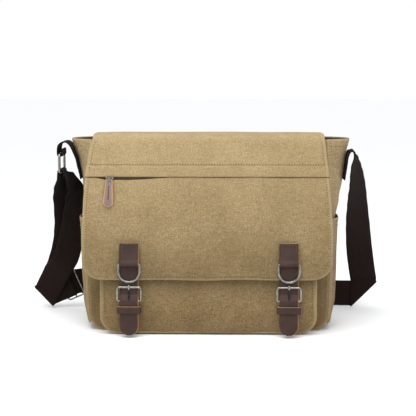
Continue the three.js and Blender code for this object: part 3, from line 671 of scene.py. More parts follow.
def side_pocket_surface(side):
    low, high = box_mm("right_side_pocket")

    def surface(u, v):
        z = mix(low.z - 6, high.z, v)
        across = u if side > 0 else 1 - u
        y = mix(0.4 - profile(FRONT, z), profile(BACK, z) - 0.4, across)
        edge = profile(HALF_WIDTH, z) + 2.6 - 2.5 * (1 - smooth(8, 26, z))
        rise = (1 - abs(2 * u - 1) ** 3.2) * (profile(POCKET_RIDGE, z) - edge)
        ripple = 1.3 * crumple(y, z, 30, 11 + side) * math.sin(math.pi * u) * smooth(10, 40, z)
        roll = 0.7 * smooth(146, 153, z)
        return Vector((side * (edge + rise + ripple * 0.6 + roll), y, z))

    return surface


def build_side_pockets():
    for side, name in ((1, "right"), (-1, "left")):
        surface = side_pocket_surface(side)
        sheet = cloth(f"{name} side pocket", 50, 70, surface, THIN, BODY_MATERIALS,
                      wear=edge_wear(0.04, 0.02, 0.4, "lrt"))
        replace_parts(ride(sheet, "bag_body"), f"{name}_side_pocket")
        seam(f"{name} side pocket stitches", surface, line((0.03, 0.92), (0.97, 0.92)), "bag_body", off=0.85)


# ---------------------------------------------------------------- front pocket
def flap_line_y(z):
    return RIDGE_Y - (RIDGE_Z - z) * math.tan(TILT)


def pocket_y(z):
    belly = 34
    low = max(0, belly - z) / belly
    return flap_line_y(max(z, belly)) + POCKET_SETBACK + 7 * low * low


def pocket_outline(v):
    return corner_outline(v, lambda z: POCKET_HALF, POCKET_FLOOR, POCKET_CORNER, POCKET_TOP)


def pocket_surface(u, v):
    x, z, _ = pocket_outline(v)
    across = 2 * u - 1
    near_snap = max(math.exp(-((across * x - at) / 16) ** 2) for at in CLOSURES.values())
    fold = 1.1 * crumple(across * x, z, 46, 21) * (1 - near_snap) * (1 - abs(across) ** 8)
    low = (1 - smooth(60, 95, z)) * smooth(3, 14, z)
    sag = 1.1 * math.sin(across * x / 17.0 + 1.2 * crumple(across * x, z, 60, 4)) * low * (1 - near_snap)
    return Vector((across * x, pocket_y(z) - 0.5 * low - fold - sag * 0.5, z))


def bellows_surface(u, v):
    bottom_share = 0.12
    from_middle = abs(2 * v - 1)
    side = -1 if v < 0.5 else 1
    x, z, outward = pocket_outline(max(0, (from_middle - bottom_share) / (1 - bottom_share)))
    along = x * from_middle / bottom_share if from_middle < bottom_share else x
    front = pocket_y(z) + 0.3
    back = -profile(FRONT, z) - 0.9
    depth = min(3.6, 0.4 + z * 0.05)
    fold = depth * (0.55 * math.sin(math.pi * u) + 0.45 * math.sin(3 * math.pi * u) ** 2)
    ripple = 0.8 * crumple(u * 30, z + along, 26, 31 + side) * math.sin(math.pi * u)
    point = Vector((along - 0.6, mix(front, back, u), z)) - outward * (fold + ripple)
    return Vector((side * point.x, point.y, point.z))


def build_front_pocket():
    # Painted shade: the pocket is darker from a little below the flap's edge upwards, where the flap shades it.
    panel = cloth("front pocket", 150, 110, pocket_surface, THIN, BODY_MATERIALS,
                  wear=edge_wear(0.014, 0.016, 0.45), grime=lambda u, v: 0.30 * smooth(0.30, 0.42, v))
    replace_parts(ride(panel, "bag_body"), "front_pocket_panel")
    # Painted shade darkens the bellows towards the back, into the recess; the pale front edge is partly rubbed
    # canvas and partly a painted highlight on the ridge.
    bellows = cloth("front pocket bellows", 24, 260, bellows_surface, THIN, BODY_MATERIALS,
                    wear=lambda u, v: 0.4 * max(0, 1 - u * 10), grime=lambda u, v: 0.08 * u)
    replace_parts(ride(bellows, "bag_body"), "front_pocket_gusset")
    right = []
    for k in range(101):
        x, z, outward = pocket_outline(k / 100)
        right.append(Vector((x, pocket_y(z) + 0.1, z)) + outward * 0.4)
    roll = tube("front pocket seam", both_sides(right), 1.25, CLOTH, 8)
    paint(roll, "wear", lambda p: 0.4)
    ride(roll, "bag_body")
    inset = 0.016
    for side, u in enumerate((inset, 1 - inset)):
        seam(f"front pocket stitches {side}", pocket_surface, line((u, 0.2), (u, 0.98), 90), "bag_body",
             SHADED_THREAD, off=0.85)
    hem = line((0.02, 0.93), (0.98, 0.93), 90)
    seam("front pocket hem stitches", pocket_surface, hem, "bag_body", off=0.85)


# ---------------------------------------------------------------- flap
FLAP_HALF = [(-300, 155), (0, 155.7), (21, 160), (55, 164.6), (97, 168), (135, 169.8), (200, 168.9)]
FLAP_MIDDLE = [(0, 0), (21, -1.5), (55, -2.3), (135, -1.6), (200, -1.7)]
YOKE_BOTTOM = 54.2


def flap_half(depth):
    return profile(FLAP_HALF, depth)


def flap_middle(depth):
    return profile(FLAP_MIDDLE, depth)


def in_flap(x, depth, out):
    """A point `depth` down the flap from the ridge and `out` in front of the outer cloth's middle."""
    return Vector((
        x,
        RIDGE_Y - depth * math.sin(TILT) - out * math.cos(TILT),
        RIDGE_Z - depth * math.cos(TILT) + out * math.sin(TILT)))


def smooth_path(corners, radius, step=2.5):
    """A polyline of (y, z) corners with each inside corner rounded."""
    points = [Vector(c) for c in corners]
    path = [points[0]]
    for before, at, after in zip(points, points[1:], points[2:]):
        back = (before - at).normalized() * min(radius, (before - at).length * 0.45)
        ahead = (after - at).normalized() * min(radius, (after - at).length * 0.45)
        for k in range(9):
            t = k / 8
            path.append((at + back) * (1 - t) ** 2 + at * 2 * t * (1 - t) + (at + ahead) * t ** 2)
    path.append(points[-1])
    spaced = [path[0]]
    for a, b in zip(path, path[1:]):
        count = max(1, int((b - a).length / step))
        spaced += [a.lerp(b, k / count) for k in range(1, count + 1)]
    return spaced


def along_path(path):
    """A function giving the point at a share, 0 to 1, of the path's length."""
    lengths = [0.0]
    for a, b in zip(path, path[1:]):
        lengths.append(lengths[-1] + (b - a).length)

    def at(t):
        target = t * lengths[-1]
        for k in range(1, len(path)):
            if target <= lengths[k] or k == len(path) - 1:
                share = (target - lengths[k - 1]) / max(1e-9, lengths[k] - lengths[k - 1])
                return path[k - 1].lerp(path[k], clamp(share))
    return at


SPLIT = (4.0, 271.6)                    # where the two lengths of the flap's top meet, on the top
yoke_end = in_flap(0, YOKE_BOTTOM, 0)
ridge_back = [(48.2, 234), (47.4, 264), (42, 269.6), SPLIT]
ridge_front = [SPLIT, (-37.0, 272.2), (-43.6, 267.0), (yoke_end.y, yoke_end.z)]
back_at = along_path(smooth_path(ridge_back, 7))
front_at = along_path(smooth_path(ridge_front, 7))


def top_ripple(x, s):
    """Slight waviness of the flap's top, the same on both of its lengths."""
    return 0.8 * crumple(x, s, 60, 41) * (1 - smooth(120, 154, abs(x)) * 0.6)


def flap_back_surface(u, v):
    p = back_at(v)
    x = (1 - 2 * u) * 155
    lift = top_ripple(x, p.x) * smooth(262, 269, p.y)
    return Vector((x, p.x + 0.6 * smooth(262, 268, p.y), p.y + lift))


def flap_front_surface(u, v):
    p = front_at(v)
    depth = max(0, (RIDGE_Z - p.y) / math.cos(TILT))
    x = flap_middle(depth) + (1 - 2 * u) * flap_half(depth)
    lift = top_ripple(x, p.x) * smooth(262, 269, p.y)
    welt = smooth(39.4, 41.0, depth)
    press = -0.5 * math.exp(-((depth - 39.4) / 0.9) ** 2)
    soft = 0.7 * crumple(x, depth * 1.3, 55, 43) * smooth(4, 20, depth) * (1 - smooth(44, 54, depth) * 0.6)
    return Vector((x, p.x - (welt + press + soft) * smooth(4, 10, depth), p.y + lift))


def near_closure(x):
    return max(math.exp(-((x - at) / 20) ** 4) for at in CLOSURES.values())


def lower_top(x):
    """Depth of the lower cloth's top edge: the zip stands open a little near the pull."""
    droop = (1 - smooth(-118, -40, x)) * smooth(-158, -138, x)
    return 56.6 + 3.4 * droop + 0.5 * crumple(x, 0, 45, 57)


def corner_inset(from_bottom):
    """How far the flap's round corner comes in from its side, at a height above its bottom edge."""
    if from_bottom >= FLAP_CORNER:
        return 0.0
    return FLAP_CORNER - math.sqrt(FLAP_CORNER ** 2 - (FLAP_CORNER - from_bottom) ** 2)


def flap_lower_surface(u, v):
    across = 1 - 2 * u
    guess = flap_half(120) * across
    depth = mix(lower_top(guess), FLAP_LENGTH, v)
    from_bottom = FLAP_LENGTH - depth
    half = flap_half(depth)
    half -= corner_inset(from_bottom)
    x = flap_middle(depth) + across * half
    calm = 1 - 0.85 * near_closure(x) * smooth(130, 145, depth)
    broad = 1.1 * crumple(x, depth, 90, 51) + 0.55 * crumple(x, depth * 1.6, 38, 52)
    edge_lift = 0.9 * smooth(0.86, 1.0, abs(across)) * crumple(depth, 0, 30, 53)
    crown = 1.3 * (1 - across ** 2) * math.sin(math.pi * v)
    out = (broad * 0.8 + edge_lift + crown) * calm * smooth(58, 72, depth)
    out += 0.35 * math.exp(-((from_bottom - 3.5) / 3.5) ** 2) * calm
    sag = crumple(x, 0, 80, 54) * smooth(150, FLAP_LENGTH, depth)
    return in_flap(x, depth + sag, out)


def flap_lining_surface(u, v):
    depth = mix(FLAP_LENGTH - 2.5, 5, v)
    half = flap_half(depth) - 2.5
    from_bottom = FLAP_LENGTH - 2.5 - depth
    half -= corner_inset(from_bottom)
    x = flap_middle(depth) + (1 - 2 * u) * half
    edge = smooth(0.93, 1.0, abs(1 - 2 * u))
    edge = max(edge, 1 - smooth(0, 9, from_bottom))
    return in_flap(x, depth, mix(-4.2, -1.6, edge) + 0.4 * crumple(x, depth, 50, 61) * (1 - edge))


def flap_wear(u, v):
    side = max(0, 1 - min(u, 1 - u) / 0.014)
    bottom = max(0, 1 - (1 - v) / 0.025)
    # Rubbed side and bottom edges, and painted light: paler towards the top, near the zip.
    return clamp(max(side, bottom) * 0.45 + 0.22 * (1 - v) ** 1.5)


def build_flap():
    # Paler side edges from rubbing, and the whole flap back lifted paler by 0.15: painted light on the top,
    # which faces up.
    back = cloth("flap back", 90, 40, flap_back_surface, CANVAS, BODY_MATERIALS,
                 wear=lambda u, v: 0.3 * max(0, 1 - min(u, 1 - u) / 0.02) + 0.15)
    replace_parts(back, "flap_back_hem", "flap_top")
    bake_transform(back)
    # Paler side edges from rubbing, and the whole yoke lifted paler by 0.28: painted light on the upward-facing
    # top band.
    front = cloth("flap yoke", 110, 70, flap_front_surface, CANVAS, BODY_MATERIALS,
                  wear=lambda u, v: 0.35 * max(0, 1 - min(u, 1 - u) / 0.014) + 0.28)
    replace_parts(front, "flap_yoke")
    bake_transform(front)
    # Painted shade darkens the lower flap towards its bottom edge.
    lower = cloth("flap lower", 170, 130, flap_lower_surface, THIN, (CLOTH, CLOTH, CLOTH),
                  wear=flap_wear, grime=lambda u, v: 0.16 * smooth(0.45, 1.0, v))
    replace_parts(ride(lower, "flap_front"), "flap_lower")
    lining = cloth("flap lining", 70, 60, flap_lining_surface, 1.2, (LINING, LINING, LINING))
    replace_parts(ride(lining, "flap_front"), "flap_lining")
    flap_stitching()


def flap_stitching():
    welt_row = []
    for k in range(121):
        welt_row.append((mix(0.012, 0.988, k / 120), front_v(38.2)))
    seam("welt stitches", flap_front_surface, welt_row, "flap_front", off=1.25)
    for side, u in (("right", 0.0125), ("left", 0.9875)):
        edge = line((u, 0.03), (u, 0.81), 120)
        seam(f"{side} flap edge stitches", flap_lower_surface, edge, "flap_front", off=0.85)
    bottom = line((0.09, 0.972), (0.91, 0.972), 160)
    seam("flap hem stitches", flap_lower_surface, bottom, "flap_front", SHADED_THREAD, off=0.85)
    for side, u in (("right", 0.0125), ("left", 0.9875)):
        seam(f"{side} yoke edge stitches", flap_front_surface, line((u, front_v(8)), (u, front_v(52)), 60),
             "flap_front", off=1.25)
    for name, v in (("low", 0.03), ("high", 0.16)):
        row = line((0.01, v), (0.99, v), 90)
        seam(f"flap back hem stitches {name}", flap_back_surface, row, "bag_body", off=1.25)


def front_v(depth):
    """The v of the flap's front length at a depth below the ridge."""
    low, high = 0.0, 1.0
    for _ in range(40):
        at = (low + high) / 2
        if (RIDGE_Z - front_at(at).y) / math.cos(TILT) < depth:
            low = at
        else:
            high = at
    return (low + high) / 2


# ---------------------------------------------------------------- zip
def build_zip():
    low, high = box_mm("zip_chain")
    for name, top, bottom in (("upper", 42.5, 55.0), ("lower", 59.0, 71.5)):
        node = f"zip_tape_{name}"
        a, b = box_mm(node)

        def surface(u, v, top=top, bottom=bottom, a=a, b=b):
            return in_flap(mix(b.x, a.x, u), mix(top, bottom, v), -2.1)

        tape = cloth(f"zip tape {name}", 40, 4, surface, 0.8, (TAPE, TAPE, TAPE))
        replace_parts(ride(tape, "flap_front"), node)
    pitch = 2.0
    count = int((high.x - low.x) / pitch)
    points, faces = [], []
    for k in range(count):
        for row in (-1, 1):
            x = low.x + pitch * (k + 0.5 + 0.25 * row)
            add_block(points, faces, x, ZIP_DEPTH + row * 0.9, -2.0, 0.72, 1.35, 0.75)
    chain = add_object("zip chain", points, faces, [ZIP_METAL])
    chain.data.polygons.foreach_set("use_smooth", [False] * len(faces))
    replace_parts(ride(chain, "flap_front"), "zip_chain")
    for node in ("zip_start_stop", "zip_end_stop"):
        points, faces = [], []
        add_block(points, faces, middle(node).x, ZIP_DEPTH, -1.9, 1.4, 2.1, 0.95)
        stop = add_object(node.replace("_", " "), points, faces, [ZIP_METAL])
        soften(stop, 0.35)
        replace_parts(ride(stop, "flap_front"), node)
    build_slider()


def add_block(points, faces, x, depth, out, half_x, half_depth, half_out):
    first = len(points)
    for dx in (-1, 1):
        for dd in (-1, 1):
            for do in (-1, 1):
                points.append(in_flap(x + dx * half_x, depth + dd * half_depth, out + do * half_out))
    for face in ((0, 1, 3, 2), (4, 6, 7, 5), (0, 4, 5, 1), (2, 3, 7, 6), (0, 2, 6, 4), (1, 5, 7, 3)):
        faces.append(tuple(first + k for k in face))


def soften(obj, width, segments=3):
    modifier = obj.modifiers.new("rounded edges", "BEVEL")
    modifier.width = width * MM
    modifier.segments = segments
    modifier.limit_method = "ANGLE"
    return obj


def wire(name, outline, radius, material, place, sides=14):
    return tube(name, [place(x, y) for x, y in outline], radius, material, sides, closed=True)


def rounded_rectangle(width, height, radius, per_corner=8):
    points = []
    for sx, sy, quarter in ((1, 1, 0), (-1, 1, 1), (-1, -1, 2), (1, -1, 3)):
        for k in range(per_corner + 1):
            angle = (quarter + k / per_corner) * math.pi / 2
            points.append((sx * (width / 2 - radius) + radius * math.cos(angle),
                           sy * (height / 2 - radius) + radius * math.sin(angle)))
    return densify(points)


def densify(points, step=2.0):
    dense = []
    for a, b in zip(points, points[1:] + points[:1]):
        length = math.hypot(b[0] - a[0], b[1] - a[1])
        count = max(1, int(length / step))
        dense += [(mix(a[0], b[0], k / count), mix(a[1], b[1], k / count)) for k in range(count)]
    return dense


def build_slider():
    x = middle("zip_slider").x
    crown_out = 4.9
    points, faces = [], []
    lower_edge = [(-5.5, 2.2), (-3.5, 3.0), (3.0, 2.4), (5.5, 1.5)]
    outline = lower_edge + [(px, -pd) for px, pd in reversed(lower_edge)]
    for out in (-0.9, 1.5):
        for px, pd in outline:
            points.append(in_flap(x + px, ZIP_DEPTH + pd, out))
    count = len(outline)
    faces.append(tuple(range(count))[::-1])
    faces.append(tuple(range(count, 2 * count)))
    for k in range(count):
        faces.append((k, (k + 1) % count, count + (k + 1) % count, count + k))
    plate = soften(add_object("zip slider plate", points, faces, [METAL]), 0.5)
    crown = []
    for k in range(17):
        angle = k / 16 * math.pi
        crown.append(in_flap(x + 2.8 * math.cos(angle), ZIP_DEPTH, 1.3 + 3.6 * math.sin(angle)))
    arch = tube("zip slider", crown, 0.8, METAL, 10)
    ride(plate, "zip_slider")
    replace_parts(ride(arch, "zip_slider"), "zip_slider")

    link = wire("zip pull link", rounded_rectangle(4.6, 5.6, 2.1), 0.6, METAL,
                lambda a, b: in_flap(x, ZIP_DEPTH + 1.1 - b, crown_out + a), 10)
    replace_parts(ride(link, "zip_pull"), "zip_pull_link")
    build_pull(x, ZIP_DEPTH + 1.1, crown_out)


def build_pull(x, top, out):
    """The leather pull: a tapered tab, round at its foot, with a hole for the link and a sewn slit."""
    length = 38

    def half(t):
        if t < 4.2:
            return math.sqrt(max(0.3, 4.2 ** 2 - (4.2 - t) ** 2))
        if t > length - 6.2:
            return math.sqrt(max(0.3, 6.2 ** 2 - (t - length + 6.2) ** 2))
        return mix(4.2, 6.2, smooth(4.2, length - 6.2, t))

    def surface(u, v):
        t = v * length
        bend = 0.5 * math.sin(v * math.pi) - 1.2 * v * v
        return in_flap(x + (1 - 2 * u) * half(t) - 2.0 * v, top + t, out + bend)

    tab = cloth("zip pull", 20, 60, surface, 2.0, (PULL_LEATHER, PULL_LEATHER, RAW_EDGE),
                wear=edge_wear(0.12, 0.04, 0.35))
    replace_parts(ride(tab, "zip_pull"), "zip_pull_tab")
    circle = [(1.7 * math.cos(k * math.pi / 8), 1.7 * math.sin(k * math.pi / 8)) for k in range(16)]
    hole = wire("zip pull eyelet", circle, 0.45, METAL,
                lambda a, b: in_flap(x + a, top + 3.8 + b, out + 1.05), 8)
    ride(hole, "zip_pull")
    slit_path = [in_flap(x - 0.5 - k / 20, top + mix(9, 30, k / 20), out + 1.25) for k in range(21)]
    up = in_flap(0, 0, 1) - in_flap(0, 0, 0)
    slit = stitches("zip pull stitches", slit_path, [up] * len(slit_path), RED_THREAD, 3.4, 0.5, 0.55, 0.05)
    ride(slit, "zip_pull")


# ---------------------------------------------------------------- leather closures
FACE = THIN / 2
STRAP_OUT = 1.2
PATCH_TOP = 145
RING_BAR = 173
RING_OUT = 6.2
RING_WIRE = 1.8
BUCKLE_TOP = 204.5
BUCKLE_BAR = 223
BUCKLE_WIRE = 1.6
BUCKLE_TOP_OUT = STRAP_OUT + 0.9 + 0.35 + BUCKLE_WIRE
BAR_OUT = 1.65
BULGE_OUT = 4.5
STRAP_TIP = 269
KEEPER = 235.5
LEATHER_HALF = 12.5
LEATHER_MATERIALS = (LEATHER, LEATHER, RAW_EDGE)


def closure_strap_surface(x):
    top = PATCH_TOP + 4

    def surface(u, v):
        depth = mix(top, STRAP_TIP, v)
        left = STRAP_TIP - depth
        half = 12.0 if left > 12.0 else math.sqrt(max(4, 12.0 ** 2 - (12.0 - left) ** 2))
        out = mix(STRAP_OUT, BULGE_OUT, max(0, 1 - abs(depth - BUCKLE_BAR) / 8.5) ** 0.8)
        out += 0.25 * crumple(x, depth, 24, 71) + smooth(244, 270, depth) ** 2
        across = 1 - 2 * u
        return in_flap(x + across * half, depth, FACE + out - 0.25 * across ** 2)

    return surface


def leather_wear(u, v):
    return clamp(1 - min(u, 1 - u) / 0.06) * 0.12 + clamp(1 - (1 - v) / 0.02) * 0.12


def build_closure(side, x):
    strap_surface = closure_strap_surface(x)
    strap = cloth(f"{side} closure strap", 16, 150, strap_surface, 1.8, LEATHER_MATERIALS,
                  wear=leather_wear, raw=lambda u, v: u < 0.04)
    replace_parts(ride(strap, "flap_front"), f"{side}_closure_strap")
    leather_seams(side, strap_surface)

    def backing(u, v):
        return in_flap(x - (1 - 2 * u) * 11, mix(212, 260, v), FACE - 0.9)

    sheet = cloth(f"{side} strap backing", 10, 20, backing, 1.2, LEATHER_MATERIALS)
    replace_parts(ride(sheet, "flap_front"), f"{side}_strap_backing")
    closure_patch(side, x)
    closure_keeper(side, x)
    closure_ring(side, x)
    closure_buckle(side, x)
    closure_prong(side, x)
    build_snap(side, x)


def leather_seams(side, surface):
    for name, u in (("a", 0.1), ("b", 0.9)):
        path = line((u, 0.28), (u, 0.44), 16)
        seam(f"{side} strap stitches {name}", surface, path, "flap_front", LEATHER_THREAD, 0.95,
             length=2.4, gap=1.0, width=0.32)


def closure_patch(side, x):
    wrap = RING_WIRE + 0.35 + 0.8
    back = RING_OUT - wrap
    corners = [(back, RING_BAR - 12), (back, RING_BAR)]
    for k in range(1, 13):
        angle = math.pi - k / 12 * math.pi
        corners.append((RING_OUT + wrap * math.cos(angle), RING_BAR + wrap * math.sin(angle)))
    corners += [(mix(RING_OUT + wrap, back + 0.7, smooth(-0.25, 1.1, k / 6)), mix(RING_BAR, PATCH_TOP, k / 6))
                for k in range(1, 7)]
    at = along_path([Vector(c) for c in corners])

    def surface(u, v):
        p = at(v)
        across = 1 - 2 * u
        return in_flap(x - across * (LEATHER_HALF - 0.1), p.y, FACE + p.x)

    def fold_wear(u, v):
        # A painted highlight across the fold round the ring's bar, and a paler rubbed top edge.
        return 0.16 * math.exp(-((v - 0.50) / 0.03) ** 2) + 0.10 * clamp(1 - (1 - v) / 0.03)

    patch = cloth(f"{side} closure patch", 14, 90, surface, 1.6, LEATHER_MATERIALS,
                  wear=fold_wear, raw=lambda u, v: u > 0.96 or v > 0.99)
    for polygon in patch.data.polygons:
        if polygon.material_index < 2:
            polygon.material_index = 0
    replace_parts(ride(patch, "flap_front"), f"{side}_closure_patch")
    stitched = [(0.12, 0.74), (0.12, 0.965), (0.88, 0.965), (0.88, 0.74)]
    path = []
    for a, b in zip(stitched, stitched[1:]):
        path += line(a, b, 14)
    seam(f"{side} patch stitches", surface, path, "flap_front", LEATHER_THREAD, 0.85,
         length=2.3, gap=1.0, width=0.34)


def closure_keeper(side, x):
    """A leather loop round the strap, with tan raw edges."""
    inside_half = 14.6
    front = STRAP_OUT + 0.9 + 0.45 + 0.9
    back = -0.9 - 0.6 - 0.35 - 0.9
    height = front - back
    outline = rounded_rectangle(2 * inside_half + 1.6, height, 2.2)
    centre = (front + back) / 2
    outline = outline + outline[:1]

    def surface(u, v):
        a, b = outline[int(round(u * (len(outline) - 1)))]
        swell = 0.35 * (1 - (2 * v - 1) ** 2)
        stretch = 1 + swell / 14
        return in_flap(x + a * stretch, KEEPER + (v - 0.5) * 9, FACE + centre + b * (1 + swell / 6))

    loop = cloth(f"{side} keeper", len(outline) - 1, 10, surface, 1.8, LEATHER_MATERIALS, edge=0.3,
                 wear=lambda u, v: 0.2 * math.exp(-((v - 0.02) / 0.12) ** 2), raw=lambda u, v: v < 0.05)
    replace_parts(ride(loop, "flap_front"), f"{side}_keeper")


def closure_ring(side, x):
    half = 14.6
    outline = []
    for k in range(33):
        angle = math.pi + k / 32 * math.pi
        outline.append((half * math.cos(angle), -9 + 15.4 * math.sin(angle)))
    outline += [(half, -3), (half - 0.3, -1.3), (half - 1.6, -0.2), (half - 3, 0), (3 - half, 0),
                (1.6 - half, -0.2), (0.3 - half, -1.3), (-half, -3)]
    drop = (RING_OUT - STRAP_OUT - 0.9 - 0.35 - RING_WIRE) / 24.4

    def on_ring(a, b):
        return in_flap(x + a, RING_BAR - b, FACE + RING_OUT + b * drop)

    ring = wire(f"{side} d ring", densify(outline, 1.5), RING_WIRE, METAL, on_ring)
    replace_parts(ride(ring, f"{side}_d_ring"), f"{side}_d_ring")


def closure_buckle(side, x):
    height = BUCKLE_BAR - BUCKLE_TOP
    rise = (BUCKLE_TOP_OUT - BAR_OUT) / height

    def on_frame(a, b):
        from_bar = b + height / 2
        return in_flap(x + a, BUCKLE_BAR - from_bar, FACE + BAR_OUT + from_bar * rise)

    buckle = wire(f"{side} buckle frame", rounded_rectangle(32, height, 3), BUCKLE_WIRE, METAL, on_frame)
    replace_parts(ride(buckle, f"{side}_buckle_frame"), f"{side}_buckle_frame")


def closure_prong(side, x):
    wrap = BUCKLE_WIRE + 0.35 + 0.7
    path = []
    for k in range(11):
        angle = math.pi * 1.1 * (1 - k / 10)
        path.append(in_flap(x, BUCKLE_BAR + wrap * math.sin(angle), FACE + BAR_OUT + wrap * math.cos(angle)))
    tip_out = BUCKLE_TOP_OUT + BUCKLE_WIRE + 1.1
    shank = [(BUCKLE_BAR - 6, BAR_OUT + wrap + 1), (BUCKLE_BAR - 12, tip_out - 1.6), (BUCKLE_TOP + 3, tip_out),
             (BUCKLE_TOP - 1, tip_out + 0.3), (BUCKLE_TOP - 3, tip_out)]
    path += [in_flap(x, depth, FACE + out) for depth, out in shank]
    # The prong's shank takes the darker metal, painted shade in the strap's slit; its tip takes the plain
    # metal.
    prong = tube(f"{side} prong", path[:-3], 1.1, PRONG_SHADE_METAL, 12, squash=0.7)
    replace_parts(ride(prong, f"{side}_buckle_prong"), f"{side}_buckle_prong")
    tip = tube(f"{side} prong tip", path[-3:], 1.5, METAL, 12, squash=0.8)
    ride(tip, f"{side}_buckle_prong")


def lathe(name, outline, place, material, sides=32):
    """A turned piece: (radius, height) points round an axis, with flat faces over its two ends."""
    points = []
    for radius, height in outline:
        for s in range(sides):
            angle = 2 * math.pi * s / sides
            points.append(place(radius * math.cos(angle), radius * math.sin(angle), height))
    return add_object(name, points, round_faces(sides, len(outline)), [material])


def build_snap(side, x):
    depth = 250

    def outwards(a, b, h):
        return in_flap(x + a, depth + b, FACE + h)

    stud_outline = [(0.3, -3.3), (2.8, -3.3), (3.2, -3.7), (6.2, -3.7), (7, -3.2), (7, -1.9)]
    stud = lathe(f"{side} snap stud", stud_outline, outwards, METAL)
    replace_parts(ride(stud, "flap_front"), f"{side}_snap_stud")
    socket_outline = [(7.5, -6.6), (7.5, -5.5), (6.8, -5.0), (4.2, -5.0), (3.8, -5.6), (0.3, -5.6)]
    socket = lathe(f"{side} snap socket", socket_outline, outwards, METAL)
    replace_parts(ride(socket, "bag_body"), f"{side}_snap_socket")


# ---------------------------------------------------------------- divider
def build_divider():
    low, high = box_mm("laptop_divider")

    def surface(u, v):
        pad = 1 - max(abs(2 * u - 1) ** 10, abs(2 * v - 1) ** 10)
        quilt = 0.5 * abs(math.sin(u * math.pi * 6)) ** 0.4
        return Vector((mix(low.x, high.x, u), 27 + 0.4 * crumple(u * 300, v * 200, 50, 81) - quilt * pad * 0.5,
                       mix(low.z, high.z, v)))

    pad = cloth("laptop divider", 90, 50, surface, 5.0, (LINING, LINING, CLOTH), edge=0.4)
    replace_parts(ride(pad, "bag_body"), "laptop_divider")


build_body()
build_side_pockets()
build_front_pocket()
build_flap()
build_zip()
for side, x in CLOSURES.items():
    build_closure(side, x)
build_divider()


# ---------------------------------------------------------------- shoulder strap
def webbing(name, stations, thickness=2.0, crossways=10, ripple=0.25):
    """A woven band through (centre, width vector) stations, with softly rounded selvedges."""
    count = len(stations)
    points, faces, uvs = [], [], []
    section = [(k / crossways - 0.5, 0.5) for k in range(crossways + 1)]
    section.append((0.512, 0.0))
    section += [(k / crossways - 0.5, -0.5) for k in range(crossways, -1, -1)]
    section.append((-0.512, 0.0))
    ring = len(section)
    travelled = 0.0
    for k, (centre, across) in enumerate(stations):
        along = (stations[min(count - 1, k + 1)][0] - stations[max(0, k - 1)][0]).normalized()
        normal = across.cross(along).normalized()
        if k:
            travelled += (centre - stations[k - 1][0]).length
        for a, b in section:
            edge = 1 - 0.35 * smooth(0.43, 0.5, abs(a))
            wave = ripple * crumple(travelled, a * 60, 26, 91) if b else 0
            points.append(centre + across * a + normal * (b * thickness * edge + wave * 0.5))
            uvs.append(((a + 0.5) * WEBBING_WIDTH * MM, travelled * MM))
    for k in range(count - 1):
        for s in range(ring):
            a, b = k * ring + s, k * ring + (s + 1) % ring
            faces.append((a, b, b + ring, a + ring))
    faces.append(tuple(range(ring))[::-1])
    faces.append(tuple((count - 1) * ring + s for s in range(ring)))
    return add_object(name, points, faces, [WEBBING], uv=uvs)


WEBBING_THICKNESS = 2
RIGHT_ARC = Vector((197.5, 0, 247.5))
ARC_GAP = 0.75
RING_X = -206.5
RING_TOP = 243.5
RING_HEIGHT = 25
RING_LOW = RING_TOP - RING_HEIGHT
RECTANGLE_WIRE = 1.8
BAR_WRAP = RECTANGLE_WIRE + 0.35 + WEBBING_THICKNESS / 2
RIGHT_FOLD = Vector((232.5, 107, 22.2))
RIGHT_FOLD_RADIUS = 1.4
LEFT_FOLD = Vector((-251, 101, 19.6))
LEFT_LEAN = math.radians(47)
RUN_IN = math.radians(24)
SLIDE_DISTANCE = 42
OUTER_RADIUS = 3.8
INNER_RADIUS = 1.3
INTO_FOLD = Vector((-math.cos(RUN_IN), 0, -math.sin(RUN_IN)))
CREASE_UP = Vector((-math.cos(LEFT_LEAN), 0, math.sin(LEFT_LEAN)))
CREASE_OUT = Vector((-math.sin(LEFT_LEAN), 0, -math.cos(LEFT_LEAN)))
OUT_OF_FOLD = INTO_FOLD - CREASE_OUT * 2 * INTO_FOLD.dot(CREASE_OUT)
CREASE_LENGTH = WEBBING_WIDTH / abs(INTO_FOLD.dot(CREASE_OUT))


def turned(points):
    """Stations (centre, width vector) through (x, y, z, degrees); the degrees turn the width from Y to X."""
    at = [Vector(point[:3]) for point in points]
    stations = []
    for k, point in enumerate(points):
        along = (at[min(len(at) - 1, k + 1)] - at[max(0, k - 1)]).normalized()
        turn = math.radians(point[3])
        across = Vector((math.sin(turn), math.cos(turn), 0))
        across = (across - along * across.dot(along)).normalized()
        stations.append((at[k], across * WEBBING_WIDTH))
    return stations


def upright(points, facing):
    """Stations with the width upright; `facing` is 1 when the outer face looks along +Y."""
    at = [Vector(point) for point in points]
    normal = Vector((0, facing, 0))
    stations = []
    for k, centre in enumerate(at):
        along = at[min(len(at) - 1, k + 1)] - at[max(0, k - 1)]
        along.y = 0
        stations.append((centre, along.cross(normal).normalized() * WEBBING_WIDTH))
    return stations


def folded(centre, crease, outward, start, radius, steps=8):
    """Stations round a flat fold, doubling back over a crease line."""
    stations = []
    for k in range(steps + 1):
        angle = k / steps * math.pi
        reach = Vector(start) * math.cos(angle) + outward * math.sin(angle)
        stations.append((centre + reach * radius, crease.copy()))
    return stations


def right_run():
    points = [
        (RIGHT_ARC.x + ARC_GAP, 0, 247.5, 0), (199.8, 0, 247.4, 0), (201.6, 0.3, 245.8, 3), (202.8, 1, 242, 8),
        (203.6, 2, 231, 22), (205.6, 8, 218, 29), (208, 15, 205, 34), (209.8, 25, 189.5, 41),
        (211.6, 35, 174, 48), (214, 48, 151, 59), (217, 60, 128, 68), (220.3, 73, 105, 77), (224.3, 85, 82, 87),
        (228.5, 95, 61, 90), (232.5, RIGHT_FOLD.y - RIGHT_FOLD_RADIUS, 44, 90)]
    return turned(points)


